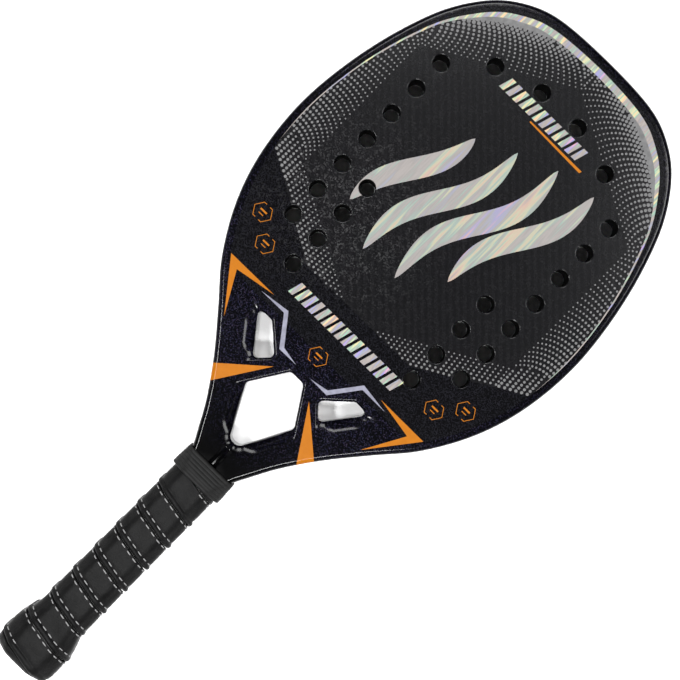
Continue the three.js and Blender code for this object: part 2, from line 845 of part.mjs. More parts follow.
addPiece('frame_tube', makeFrameTube(), carbon);
addPiece('throat_bridge', makeBridge(), carbon);
addPiece('strut_left', makeStrut(-1), carbon);
addPiece('strut_right', makeStrut(1), carbon);
addPiece('throat_gusset', makeGusset(), carbon);
addPiece('eva_core', drilledPlate(coreEdge, -coreHalfThickness, coreHalfThickness), foam);
addPiece('face_sheet_front', drilledPlate(faceOutline(0), coreHalfThickness, halfThickness), carbonFace);
addPiece('face_sheet_back', drilledPlate(faceOutline(0), -halfThickness, -coreHalfThickness), carbonFace);
addPiece('stem_spacer', makeStemSpacer(), handleFoam);
addPiece('stem_plug_left', makeStemPlug(-1), plastic);
addPiece('stem_plug_right', makeStemPlug(1), plastic);
addPiece('handle_pallet_front', makePallet(1), handleFoam);
addPiece('handle_pallet_back', makePallet(-1), handleFoam);
addPiece('butt_cap', makeButtCap(), plastic);
addPiece('butt_cap_plug', makeButtCapPlug(), plastic);
addPiece('grip_tape', makeGripTape(), leather);
addPiece('finishing_tape', makeFinishingTape(), tape);
addPiece('collar_band', makeCollarBand(), rubber);

// The racket lies on the lowest point of its handle's end, centred on the origin
const extent = new THREE.Box3().setFromObject(racket);
const centre = extent.getCenter(new THREE.Vector3());
racket.position.set(-centre.x, -centre.y, -extent.min.z);

export default racket;
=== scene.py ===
# Finished surfaces of a beach tennis racket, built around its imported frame.
# Sizes are in millimetres in the racket's own frame: X across, Y up from the butt, Z from the mid-plane.

import math

import bpy
import numpy as np
from mathutils import Matrix, Vector, geometry


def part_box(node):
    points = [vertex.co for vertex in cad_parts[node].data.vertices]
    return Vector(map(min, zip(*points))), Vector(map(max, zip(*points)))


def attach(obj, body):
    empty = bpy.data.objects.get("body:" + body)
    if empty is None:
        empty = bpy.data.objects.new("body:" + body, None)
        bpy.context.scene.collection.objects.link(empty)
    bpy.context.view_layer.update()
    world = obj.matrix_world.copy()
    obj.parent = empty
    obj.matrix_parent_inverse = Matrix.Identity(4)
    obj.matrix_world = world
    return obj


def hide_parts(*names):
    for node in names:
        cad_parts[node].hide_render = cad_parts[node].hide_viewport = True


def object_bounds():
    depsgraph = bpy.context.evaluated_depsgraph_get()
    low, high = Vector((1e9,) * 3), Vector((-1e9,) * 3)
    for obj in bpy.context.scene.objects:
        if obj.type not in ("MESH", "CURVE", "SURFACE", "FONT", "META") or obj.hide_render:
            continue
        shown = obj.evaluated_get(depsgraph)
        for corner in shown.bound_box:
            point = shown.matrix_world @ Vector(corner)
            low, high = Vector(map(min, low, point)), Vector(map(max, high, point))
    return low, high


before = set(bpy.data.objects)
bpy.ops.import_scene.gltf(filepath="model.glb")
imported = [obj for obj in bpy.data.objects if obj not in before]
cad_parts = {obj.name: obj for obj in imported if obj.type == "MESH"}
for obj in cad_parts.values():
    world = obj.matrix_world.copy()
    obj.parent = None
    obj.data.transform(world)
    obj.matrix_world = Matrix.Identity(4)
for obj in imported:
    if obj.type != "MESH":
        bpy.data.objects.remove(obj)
cad_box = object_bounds()

MM = 0.001
BODY = "root"

# Overall sizes, as in the frame
RACKET_LENGTH = 500
HANDLE_LENGTH = 164.5
HEAD_WIDTH = 226
HEAD_THICKNESS = 22
FACE_THICKNESS = 0.8
FIT = 0.3
HEAD_LENGTH = RACKET_LENGTH - HANDLE_LENGTH
HALF_HEAD = HEAD_WIDTH / 2
HALF_THICKNESS = HEAD_THICKNESS / 2
CORE_HALF = HALF_THICKNESS - FACE_THICKNESS

# Where the butt's end and the mid-plane lie in the scene, in metres
BUTT_Y = cad_box[0].y
core_low, core_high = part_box("eva_core")
MID_Z = (core_low.z + core_high.z) / 2

# Neck and stems, and the groove between the arms
NECK_WIDTH = 32
NECK_BOTTOM = 151
NECK_SLOPE = 11
STEM_SPAN = 22.4
STEM_GAP = 3
STEM_DEPTH = 17
STEM_END = 5.8
STEM_SLOT_TOP = 150.5
GROOVE_LINES = 9
GROOVE_HALF_WIDTH = 3.1
GROOVE_DEPTH = 2.4
GROOVE_TOP = 171

# Outline of the head's and arms' right half, as shares of half the width and of the head's length
OUTLINE_SHARES = [
    (0.1914, 0.0322), (0.2639, 0.0764), (0.4017, 0.143), (0.5652, 0.2095), (0.7324, 0.2759),
    (0.8812, 0.3645), (0.9648, 0.4531), (1, 0.5639), (0.9706, 0.6746), (0.8938, 0.7854),
    (0.789, 0.874), (0.643, 0.9405), (0.497, 0.975), (0.35, 0.9925),
]
OUTLINE_STEPS = 460
CURVE_STEPS = 40
EDGE_ROUND = 3
ROUND_STEPS = 7
RIM_WIDTH = 5
FACE_BOTTOM_SHARE = 0.272

# Throat openings: corners of the right half, anticlockwise, as shares of half the width and the length
MIDDLE_OPENING_SHARES = [(0.031, 0.0552), (0.176, 0.1472), (0.046, 0.2155)]
SIDE_OPENING_SHARES = [(0.407, 0.2573), (0.307, 0.2573), (0.162, 0.2131), (0.2403, 0.1851)]
OPENING_ROUND = 3.4
FOOT_ROUND = 5.4

# Width and depth of the openings' rounded edges: in general, along the arms and at the crotch
BEVEL = (1.6, 2)
SCOOP = (8.5, 8)
CROTCH = (5, 3.2)
SWELL_SHARE = 0.3
EDGE_STEPS = 24
CORNER_STEPS = 8

# Holes
HOLE_RADIUS = 5.15
HOLE_BEVEL = 0.55
HOLE_BEVEL_DEPTH = 0.4
HOLE_BEVEL_SHARES = [(0, 1), (0.12, 0.55), (0.45, 0.15), (1, 0)]
HOLE_STEPS = 44
HOLE_PITCH = 20.85
HOLE_COLUMN_SHARES = {0.6177: range(1, 8), 0.4354: range(0, 4)}
FIRST_ROW_SHARE = 0.355
TOP_HOLE_SHARES = [(0.402, 0.8528), (0.131, 0.8776)]

# Painted shapes, for the right half unless both halves are meant
CHEVRON = [(44.2, 262.4), (79.7, 262.3), (56.5, 232.6), (70.6, 257.8)]
SPIKE = [(14.7, 231.9), (36.6, 198.4), (43.2, 207.3)]
SILVER_LINE = [(51.4, 258.8), (31.4, 261.5), (18.0, 244.2), (5.9, 241.9), (19.6, 241.7), (32.6, 258.9)]
WEAVE_FOOT = [(-43, 288.4), (43, 288.4)]
WEAVE_SIDE_HEIGHT = 326

# Silver band inside the rim: share of the way from the tip to its low end, inset from the edge, thickness
BAND_LOW = 330
BAND_TABLE = [
    (0, 6.9, 4.4), (0.15, 7.5, 4.3), (0.26, 8, 3.8), (0.4, 7.5, 2.2),
    (0.5, 6.2, 1.2), (0.7, 5.3, 0.8), (0.9, 5.1, 0.6), (1, 5.1, 0.05),
]
CRESCENT_SHARES = (0.13, 0.43)
CRESCENT_THICKNESS = 3.4
CRESCENT_FULLNESS = 0.8

# Halftone dots of the right half, in columns that curve out to the silver band. Each row of columns:
# its first and last column, how many there are, and the first dot's radius. A column is given by its
# start, its heading there and its heading at the band.
DOT_ROWS = [
    ((0, 477, 44, 14), (84, 430.5, 106, 40), 27, 0.45),
    ((0, 488, 72, 20), (0, 479.6, 50, 14), 5, 0.62),
    ((87.2, 428, 40, 0), (87.2, 407, 0, -20), 8, 0.48),
    ((86, 430, 92, 35), (87.2, 429.2, 45, 5), 4, 0.42),
    ((87.2, 403.5, 0, -20), (87.2, 333, 50, -5), 20, 0.5),
    ((107, 344, -90, -90), (88, 334, -88, -88), 7, 0.65),
    ((85.5, 328.6, -83, -90), (15, 289.6, -88, -90), 25, 0.5),
]
DOT_COLUMN_LENGTH = 62
DOT_TURN_LENGTH = 22
DOT_PITCH = 2.42
DOT_LEAST_GAP = 1.95
DOT_GROWTH = 0.02
DOT_SIDES = 8

# How much the dots swell at the crescents, and how far from their middle and from the band
DOT_SWELL = 0.55
CRESCENT_MIDDLE = (58, 473)
CRESCENT_REACH = 40
SWELL_INSET = 11
SWELL_DEPTH = 5

# Plain ornaments on the front: badges whose outline is broken in two strokes, given as places that are
# counted in corners, and their bars, as lift, half width and height
BADGES = [(-83.4, 292.6), (-69.2, 280.1), (0, 254.5), (71, 280.1), (85, 292.6)]
BADGE_HALF_WIDTH = 6.7
BADGE_HALF_HEIGHT = 5.2
HEXAGON_SHARES = [(1, 0), (0.5, 1), (-0.5, 1), (-1, 0), (-0.5, -1), (0.5, -1)]
BADGE_LINE = 0.4
BADGE_STROKES = [(1.7, 2, 3, 4, 4.3), (4.7, 5, 6, 7, 7.3)]
BADGE_BARS = [(0.9, 2.5, 1), (-1.5, 1.8, 0.5)]

# Waves, as centre and half length, and rows of slanted bars, as left, right, low and high
WAVES = [(-38, 373, 41), (-13, 371, 54), (12, 376, 58), (37, 388, 50)]
WAVE_LENGTH = 112
WAVE_RISE = 6.5
WAVE_THICKNESS = 14
WAVE_FULLNESS = 0.7
WAVE_TILT = 13
WAVE_STEPS = 48
HATCHES = [(-36, 33, 443.8, 452.6), (-40, 50, 269.8, 279)]
HATCH_PITCH = 5.4
HATCH_WIDTH = 3.5
HATCH_SLANT = 2.6
UNDERLINE = [(-8, 441.2), (34, 440.2), (34.6, 441.9), (-8, 442.2)]

# Grip strip, wound over the handle, and the flare at the handle's end
GRIP_WIDTH = 31.8
GRIP_DEPTH = 29.8
GRIP_CORNER_CUT = 6.7
GRIP_FOLD = 4.2
GRIP_TOP = 154
FLARE_GROWTH = 4.45
FLARE_ROUND = 5.5
FLARE_STRAIGHT = 11
FLARE_RISE = 19
FLARE_EASE_SHARE = 0.35
FLARE_ROUND_STEPS = 24
FLARE_STEPS = 40
STRIP_THICKNESS = 1.9
STRIP_PITCH = 18.2
STRIP_GAP = 0.6
STRIP_WIDTH = STRIP_PITCH - STRIP_GAP
SHORTEST_STRIP = 2.5
STRIP_EDGE_ROUND = 0.55
STRIP_CROWN = 0.12
STRIP_SHARES = [
    0, 0.015, 0.04, 0.07, 0.1, 0.13, 0.16, 0.18, 0.2, 0.225, 0.26, 0.4, 0.6, 0.8, 0.92, 0.955, 0.985, 1,
]
WELT_WIDTH = 3.2
WELT_HEIGHT = 0.8
WELT_FULLNESS = 0.7
WELT_HEIGHT_ON_RIGHT = 130.1
SEAM_FROM_LOW = 3.55
SEAM_FROM_HIGH = 1.0
SEAM_WIDTH = 0.75
SEAM_DEPTH = 0.3

# Eight-sided section under the strip; a cut corner grows more slowly than the sides
GRIP_STAND = STRIP_THICKNESS + FIT
GROWTH_SHARE = 2 - math.sqrt(2)
PALLET_HALF_WIDTH = GRIP_WIDTH / 2 - GRIP_STAND
PALLET_HALF_DEPTH = GRIP_DEPTH / 2 - GRIP_STAND
PALLET_CORNER_CUT = GRIP_CORNER_CUT - GRIP_STAND * GROWTH_SHARE
SOFT_CORNER_SHARE = 0.42
SECTION_CORNER_STEPS = 6
SECTION_SIDE_STEPS = 4
RUN_STEPS = 1200

# Stitches of the grip strip
STITCH_LENGTH = 3.7
STITCH_PITCH = 5.4
STITCH_RADIUS = 0.36
STITCH_PROUD = 0.16
STITCH_TIP_SHARE = 0.04
STITCH_RINGS = 7
STITCH_SIDES = 6
STITCH_MARGIN = 0.5
LOWEST_STITCH = 15.2
HIDDEN_UNDER_COLLAR = 1.2
LOWER_SEAM_SHORT_TURNS = 0.2

# Collar band over the strip's top end and the tape ring
COLLAR_BOTTOM = 150
TAPE_THICKNESS = 0.4
COLLAR_GROWTH = GRIP_STAND + FIT + TAPE_THICKNESS + FIT
COLLAR_WALL = 1.2
COLLAR_EDGE_ROUND = 0.8
COLLAR_TOP_CUT = 2
COLLAR_RIBS = 7
COLLAR_RIB_HEIGHT = 0.3
COLLAR_RIB_FULLNESS = 0.6
COLLAR_STEPS = 84

# Meshes: edges sharper than these angles shade as edges, and places nearer than these are one
SHARP_ANGLE = 42
STRIP_SHARP_ANGLE = 60
COLLAR_SHARP_ANGLE = 50
NORMAL_WEIGHT = 100
CUT_TOLERANCE = 1e-5
INNER_TOLERANCE = 1e-6
HOLE_TEST_SHARE = 0.99

# Kind of result that the cutting gives back
ALL_TRIANGLES = 0

# Flakes of the lacquer: heights between which they change, and how strong they are on the way; their fading
# towards the neck is also painted shade there
FLAKE_HEIGHTS = (150, 350)
FLAKE_STOPS = [(0.1, 0.0), (0.36, 1.0), (0.6, 1.0), (0.85, 0.45)]

# Painted glints and painted sheen in the rough coat's colour: middle and reach of the patch where they are
# strongest, and least strength
PAINTED_GLINT_SIZE = 0.8
PAINTED_GLINT_CENTRE = (-52, 322)
PAINTED_GLINT_REACH = 85
PAINTED_GLINT_FLOOR = 0.1

# Weave: distance of its stripes, their angle, and the radians that the wave node turns per unit
TWILL_PITCH = 4.2
TWILL_ANGLE = -45
WAVE_NODE_TURN = 20

# Camera and floor, in metres and degrees
CAMERA_DISTANCE = 1.0
SENSOR_WIDTH = 36
VIEW_WIDTH = 0.4069
VIEW_CENTRE = (0.00234, 0.02065)
VIEW_TURN = 44.5
FLOOR_SIZE = 8.0
FLOOR_COLOUR = (0.96, 0.96, 0.96)
WORLD_LEVEL = 0.02

# Soft boxes on the right, each with one like it on the left: direction round the racket, angle off the
# vertical, distance, width, height and power
LAMPS = {
    "upper_box": (50, 26, 5, 1.4, 1.5, 168),
    "lower_box": (310, 19, 2.6, 0.4, 0.24, 48),
    "side_box": (5, 62, 1.6, 1.2, 0.5, 1.6),
    "low_box": (302, 68, 1.6, 1.6, 0.11, 2.5),
}

# Plain materials: stops of the colour, size and detail of its grain, the same and the depth of the
# relief, roughness and specular level
GRAINED = {
    "orange_paint": (
        [(0.3, (0.25, 0.078, 0.002)), (0.7, (0.28, 0.090, 0.003))], (6, 3), (1.5, 3, 0.03), 0.25, 0.1,
    ),
    "black_foam": ([(0.35, 0.001), (0.7, 0.003)], (0.5, 3), (0.4, 3, 0.1), 0.95, 0.05),
    "grey_thread": ([(0.35, 0.11), (0.65, 0.24)], (0.3, 3), (0.25, 2, 0.05), 0.8, 0.5),
    "collar_rubber": ([(0.3, 0.0062), (0.7, 0.0100)], (3, 4), (0.5, 3, 0.05), 0.6, 0.1),
    "cap_plastic": ([(0.3, 0.0096), (0.7, 0.0144)], (1.5, 3), (0.4, 2, 0.04), 0.55, 0.5),
    "handle_foam": ([(0.3, 0.048), (0.7, 0.072)], (1.5, 3), (0.4, 2, 0.04), 0.55, 0.5),
    "black_tape": ([(0.3, 0.008), (0.7, 0.012)], (1.5, 3), (0.4, 2, 0.04), 0.55, 0.5),
}

# Frame's own pieces inside the handle, which stay as they are but for their material
HIDDEN_PIECES = {
    "cap_plastic": ["butt_cap", "butt_cap_plug", "stem_plug_left", "stem_plug_right"],
    "handle_foam": ["handle_pallet_front", "handle_pallet_back", "stem_spacer"],
    "black_tape": ["finishing_tape"],
}


# Lines and curves
def on_head(share):
    """Height above the butt of a place on the head"""
    return HANDLE_LENGTH + share * HEAD_LENGTH


def mirrored(points):
    return [(-x, y) for x, y in reversed(points)]


def from_shares(shares):
    return [(across * HALF_HEAD, on_head(along)) for across, along in shares]


def with_next(items):
    """Each item with the one after it, and the last with the first"""
    return zip(items, items[1:] + items[:1])


def unit_rows(rows):
    return rows / np.linalg.norm(rows, axis=1)[:, None]


def lengths_along(line):
    """Length of the line up to each of its points"""
    return np.r_[0, np.cumsum(np.linalg.norm(np.diff(line, axis=0), axis=1))]


def places_along(line, lengths, wanted):
    """Places on the line at the wanted lengths"""
    return np.stack([np.interp(wanted, lengths, column) for column in line.T], axis=-1)


def evenly(line, steps):
    """The same line with evenly spaced points"""
    lengths = lengths_along(line)
    return places_along(line, lengths, np.linspace(0, lengths[-1], steps + 1))


def bezier(controls, share):
    """Place on the smooth curve from the first control to the last"""
    while len(controls) > 1:
        controls = [one + (other - one) * share for one, other in zip(controls, controls[1:])]
    return controls[0]


def clamped(share):
    return min(max(share, 0), 1)


def smooth(share):
    share = clamped(share)
    return share * share * (3 - 2 * share)


def curve_through(corners, steps):
    """Evenly spaced points of a centripetal curve through the corners"""
    given = [np.array(corner, float) for corner in corners]
    ends = [2 * given[0] - given[1], *given, 2 * given[-1] - given[-2]]
    fine = []
    for places in zip(ends, ends[1:], ends[2:], ends[3:]):
        before, start, stop, after = places
        first, middle, last = (math.dist(*pair) ** 0.5 for pair in zip(places, places[1:]))
        leave = (start - before) / first - (stop - before) / (first + middle) + (stop - start) / middle
        arrive = (stop - start) / middle - (after - start) / (middle + last) + (after - stop) / last
        controls = [start, start + leave * middle / 3, stop - arrive * middle / 3, stop]
        fine += [bezier(controls, step / CURVE_STEPS) for step in range(CURVE_STEPS)]
    return evenly(np.array([*fine, given[-1]]), steps)


def rounded(corners, reach_of, corner_steps, side_steps):
    """Points of a polygon with round corners, each with its side and its share of the way along that side"""
    turns = []
    for index, (corner, after) in enumerate(with_next(corners)):
        ways = [(other - corner).normalized() for other in (corners[index - 1], after)]
        reach = reach_of(index, ways[0].angle(ways[1]))
        turns.append([corner + ways[0] * reach, corner, corner + ways[1] * reach])
    points = []
    for side, (turn, following) in enumerate(with_next(turns)):
        points += [(bezier(turn, step / corner_steps), side, 0) for step in range(corner_steps)]
        for share in np.arange(side_steps) / side_steps:
            points.append((turn[-1].lerp(following[0], share), side, share))
    return points


def circle(x, y, radius, steps):
    angles = [2 * math.pi * step / steps for step in range(steps)]
    return [(x + radius * math.cos(angle), y + radius * math.sin(angle)) for angle in angles]


def inside(place, polygon):
    x, y = place
    within = False
    for (ax, ay), (bx, by) in with_next(polygon):
        if (ay > y) != (by > y) and x < (bx - ax) * (y - ay) / (by - ay) + ax:
            within = not within
    return within


# Edge of the frame
def edge_of_frame():
    """Edge of the frame, from the left neck round the tip to the right neck"""
    left_up = [(STEM_SPAN / 2, NECK_BOTTOM), (NECK_WIDTH / 2, HANDLE_LENGTH), *from_shares(OUTLINE_SHARES)]
    right_down = left_up[::-1]
    return curve_through([*mirrored(right_down), (0, RACKET_LENGTH), *right_down], OUTLINE_STEPS)


EDGE = edge_of_frame()
EDGE_ALONG = unit_rows(np.gradient(EDGE, axis=0))
EDGE_INWARD = np.stack([EDGE_ALONG[:, 1], -EDGE_ALONG[:, 0]], axis=1)


def inset_edge(inset):
    """The frame's edge moved inward by a distance, or by one distance for each of its points"""
    return EDGE + EDGE_INWARD * np.broadcast_to(inset, len(EDGE))[:, None]


def clipped_above(line, height):
    """The stretch of the line above a height, ending exactly there on both sides"""
    above = np.flatnonzero(line[:, 1] > height)
    first, last = above[0], above[-1]
    start = crossing(line[first - 1], line[first], height)
    stop = crossing(line[last], line[last + 1], height)
    return [tuple(start), *map(tuple, line[first : last + 1]), tuple(stop)]


def crossing(start, stop, height):
    return start + (stop - start) * (height - start[1]) / (stop[1] - start[1])


def distance_to_edge(place):
    """Distance of a place from the frame's edge"""
    starts, ways = EDGE[:-1], np.diff(EDGE, axis=0)
    share = ((place - starts) * ways).sum(1) / (ways**2).sum(1)
    nearest = starts + ways * np.clip(share, 0, 1)[:, None]
    return np.linalg.norm(nearest - place, axis=1).min()


def rounding_depth(distance, radius):
    """Depth of a rounded edge under the flat, at a distance from the edge"""
    inward = 1 - clamped(distance / radius)
    return radius * (1 - math.sqrt(1 - inward**2))


def half_thickness(y):
    """Half the frame's thickness at a height, drawn in at the neck"""
    return np.interp(y, (NECK_BOTTOM, NECK_BOTTOM + NECK_SLOPE), (STEM_DEPTH / 2, HALF_THICKNESS))


# Flat drawings that are cut into faces
class Plan:
    """A flat drawing of a plate: places with their depth under the flat, lines, and named areas"""

    def __init__(self):
        self.places = []
        self.depths = []
        self.lines = []
        self.areas = []

    def add(self, places, depths=0):
        first = len(self.places)
        self.places += [Vector((float(x), float(y))) for x, y in places]
        self.depths += list(np.broadcast_to(depths, len(places)))
        return list(range(first, len(self.places)))

    def line(self, indices):
        self.lines += list(zip(indices, indices[1:]))

    def ring(self, places, depths, opens):
        """A closed line, which bounds an opening if it opens"""
        indices = self.add(places, depths)
        self.line(indices + indices[:1])
        if opens:
            self.area("open", indices)

    def area(self, name, indices):
        corners = [self.places[index] for index in indices]
        turn = sum(a.x * b.y - a.y * b.x for a, b in with_next(corners))
        self.areas.append((name, indices if turn > 0 else indices[::-1]))

    def shape(self, name, places):
        """An area whose outline is free to cross everything else"""
        self.area(name, self.add(places))

    def shape_both(self, name, places):
        """The same in both halves"""
        self.shape(name, places)
        self.shape(name, mirrored(places))

    def cut(self):
        """Places, depths, and the triangles of the plate, each with the name of its paint"""
        loops = [indices for _, indices in self.areas]
        found = geometry.delaunay_2d_cdt(self.places, self.lines, loops, ALL_TRIANGLES, CUT_TOLERANCE, True)
        places, _, triangles, sources, _, inside_of = found
        depths = [self.depth_of(place, source) for place, source in zip(places, sources)]
        kept = []
        for triangle, areas in zip(triangles, inside_of):
            names = [self.areas[area][0] for area in sorted(areas)]
            if "plate" in names and "open" not in names:
                kept.append((triangle, names[-1]))
        return places, depths, kept

    def depth_of(self, place, source):
        given = [self.depths[index] for index in source]
        if given and max(given) > 0:
            return max(given)
        return rounding_depth(distance_to_edge(np.array(place)), EDGE_ROUND)


def quarter_steps():
    """Shares across and down a rounded edge, from its foot to the flat"""
    angles = [math.pi / 2 * step / ROUND_STEPS for step in range(ROUND_STEPS + 1)]
    return [(1 - math.cos(angle), 1 - math.sin(angle)) for angle in angles]


# Throat openings and neck
def shifted(corners, distances):
    """A polygon with each of its sides moved outward; the first distance is that of the first side"""
    sides = []
    for (start, stop), distance in zip(with_next(corners), distances):
        way = (Vector(stop) - Vector(start)).normalized()
        sides.append((Vector(start) + Vector((way.y, -way.x)) * distance, way))
    moved = []
    for (before, way_in), (after, way_out) in zip(sides[-1:] + sides[:-1], sides):
        reach = (after - before).cross(way_out) / way_in.cross(way_out)
        moved.append(before + way_in * reach)
    return moved


def add_opening(plan, corners, radii, edges):
    """An opening with a rounded edge, whose width and depth at its middle are given for each side"""

    def reach_of(index, angle):
        return radii[index] / math.tan(angle / 2)

    corner_depth = BEVEL[1]
    for across, down in quarter_steps():
        moved = shifted(corners, [width * across for width, _ in edges])
        points = rounded(moved, reach_of, CORNER_STEPS, EDGE_STEPS)
        depths = []
        for _, side, share in points:
            swell = smooth(min(share, 1 - share) / SWELL_SHARE)
            depths.append((corner_depth + (edges[side][1] - corner_depth) * swell) * down)
        plan.ring([place for place, _, _ in points], depths, opens=across == 0)


def add_openings(plan):
    """One opening between the arms, and one at each side of it"""
    right = from_shares(MIDDLE_OPENING_SHARES)
    radii = [FOOT_ROUND, *[OPENING_ROUND] * 4, FOOT_ROUND]
    add_opening(plan, right + mirrored(right), radii, [SCOOP, BEVEL, BEVEL, BEVEL, SCOOP, CROTCH])
    right = from_shares(SIDE_OPENING_SHARES)
    for corners in right, mirrored(right):
        add_opening(plan, corners, [OPENING_ROUND] * len(right), [BEVEL, BEVEL, BEVEL, SCOOP])


def add_neck(plan):
    """The line where the neck's slope ends, and the groove above it between the arms"""
    top = NECK_BOTTOM + NECK_SLOPE
    plan.line(plan.add([(-STEM_SPAN / 2, top), (STEM_SPAN / 2, top)]))
    for share in np.linspace(-1, 1, GROOVE_LINES):
        x = GROOVE_HALF_WIDTH * share
        plan.line(plan.add([(x, top), (x, GROOVE_TOP)], GROOVE_DEPTH * (1 - share**2)))


# Silver band and weave
def band_insets():
    """Insets of the silver band's outer and inner edge, and of the crescents inside it, all along the edge"""
    lengths = lengths_along(EDGE)
    above = lengths[EDGE[:, 1] > BAND_LOW]
    share = np.abs(lengths - lengths[-1] / 2) / (above[-1] - above[0]) * 2
    places, insets, widths = zip(*BAND_TABLE)
    outer = np.interp(share, places, insets)
    inner = outer + np.interp(share, places, widths)
    start, stop = CRESCENT_SHARES
    swell = np.sin(np.pi * np.clip((share - start) / (stop - start), 0, 1)) ** CRESCENT_FULLNESS
    return outer, inner, inner + CRESCENT_THICKNESS * swell


def weave_outline(insets):
    return [*clipped_above(inset_edge(insets), WEAVE_SIDE_HEIGHT), *WEAVE_FOOT[::-1]]


def add_band(plan):
    outer, inner, crescent = [clipped_above(inset_edge(inset), BAND_LOW) for inset in band_insets()]
    plan.shape("silver", [*outer, *crescent[::-1]])
    plan.shape("holographic", [*outer, *inner[::-1]])


# Halftone dots
def hole_centres():
    right = []
    for across, rows in HOLE_COLUMN_SHARES.items():
        right += [(across * HALF_HEAD, on_head(FIRST_ROW_SHARE) + row * HOLE_PITCH) for row in rows]
    right += from_shares(TOP_HOLE_SHARES)
    return right + mirrored(right)


def halftone_columns():
    """Start of each column of dots, its heading at the start and at the band, and its first radius"""
    for first, last, count, radius in DOT_ROWS:
        for x, y, heading, final in np.linspace(first, last, count):
            yield np.array((x, y)), heading, final, radius


def dot_swell(place):
    """Dots swell into one another at the crescents"""
    from_middle = math.dist(place, CRESCENT_MIDDLE) / CRESCENT_REACH
    from_band = max(distance_to_edge(place) - SWELL_INSET, 0) / SWELL_DEPTH
    return DOT_SWELL * math.exp(-(from_middle**2) - from_band)


def halftone_dots():
    """Centre and radius of each dot of the right half"""
    _, band_inner, _ = band_insets()
    area = weave_outline(band_inner)
    holes = np.array(hole_centres())
    dots = []
    for place, heading, final, first_radius in halftone_columns():
        for depth in np.arange(0, DOT_COLUMN_LENGTH, DOT_PITCH):
            if not inside(place, area):
                break
            radius = first_radius + DOT_GROWTH * depth + dot_swell(place)
            clear = np.linalg.norm(holes - place, axis=1).min() - HOLE_RADIUS - HOLE_BEVEL
            gap = min((math.dist(place, other) for other, _ in dots), default=HEAD_WIDTH)
            if place[0] >= 0 and clear > radius and gap > DOT_LEAST_GAP:
                dots.append((place, radius))
            way = math.radians(heading + (final - heading) * min(depth / DOT_TURN_LENGTH, 1))
            place = place + DOT_PITCH * np.array((math.cos(way), math.sin(way)))
    return dots


def add_halftone(plan):
    for (x, y), radius in halftone_dots():
        plan.shape_both("silver", circle(x, y, radius, DOT_SIDES))


# Ornaments
def bar(left, right, low, high, slant=0):
    return [(left, low), (right, low), (right + slant, high), (left + slant, high)]


def add_badges(plan):
    """Broken hexagon outlines with two plain bars"""
    corners = np.array(HEXAGON_SHARES * 2)
    for x, y in BADGES:
        for stroke in BADGE_STROKES:
            shares = places_along(corners, range(len(corners)), stroke)
            outer, inner = (
                (x, y) + shares * (BADGE_HALF_WIDTH - inset, BADGE_HALF_HEIGHT - inset)
                for inset in (0, BADGE_LINE)
            )
            plan.shape("badge", [*outer, *inner[::-1]])
        for lift, half_width, height in BADGE_BARS:
            low = y + lift - height / 2
            plan.shape("badge", bar(x - half_width, x + half_width, low, low + height))


def add_waves(plan):
    """Plain waves side by side, leaning to the right"""
    lean = Matrix.Rotation(-math.radians(WAVE_TILT), 2)
    for x, y, half_length in WAVES:
        sides = ([], [])
        for share in np.linspace(-1, 1, WAVE_STEPS + 1):
            along = share * half_length
            middle = WAVE_RISE * math.sin(2 * math.pi * along / WAVE_LENGTH)
            half = WAVE_THICKNESS / 2 * (1 - share**2) ** WAVE_FULLNESS
            for side, across in zip(sides, (middle + half, middle - half)):
                side.append(Vector((x, y)) + lean @ Vector((across, along)))
        plan.shape("foil", sides[0] + sides[1][-2:0:-1])


def add_hatches(plan):
    """Rows of slanted bars, and a thin line under the upper row"""
    for left, right, low, high in HATCHES:
        for number in range(int((right - left) / HATCH_PITCH)):
            x = left + number * HATCH_PITCH
            plan.shape("holographic", bar(x, x + HATCH_WIDTH, low, high, HATCH_SLANT))
    plan.shape("orange", UNDERLINE)


def add_paint(plan, front):
    plan.shape_both("orange", CHEVRON)
    plan.shape_both("orange", SPIKE)
    plan.shape_both("lavender", SILVER_LINE)
    if front:
        add_badges(plan)
        add_waves(plan)
        add_hatches(plan)


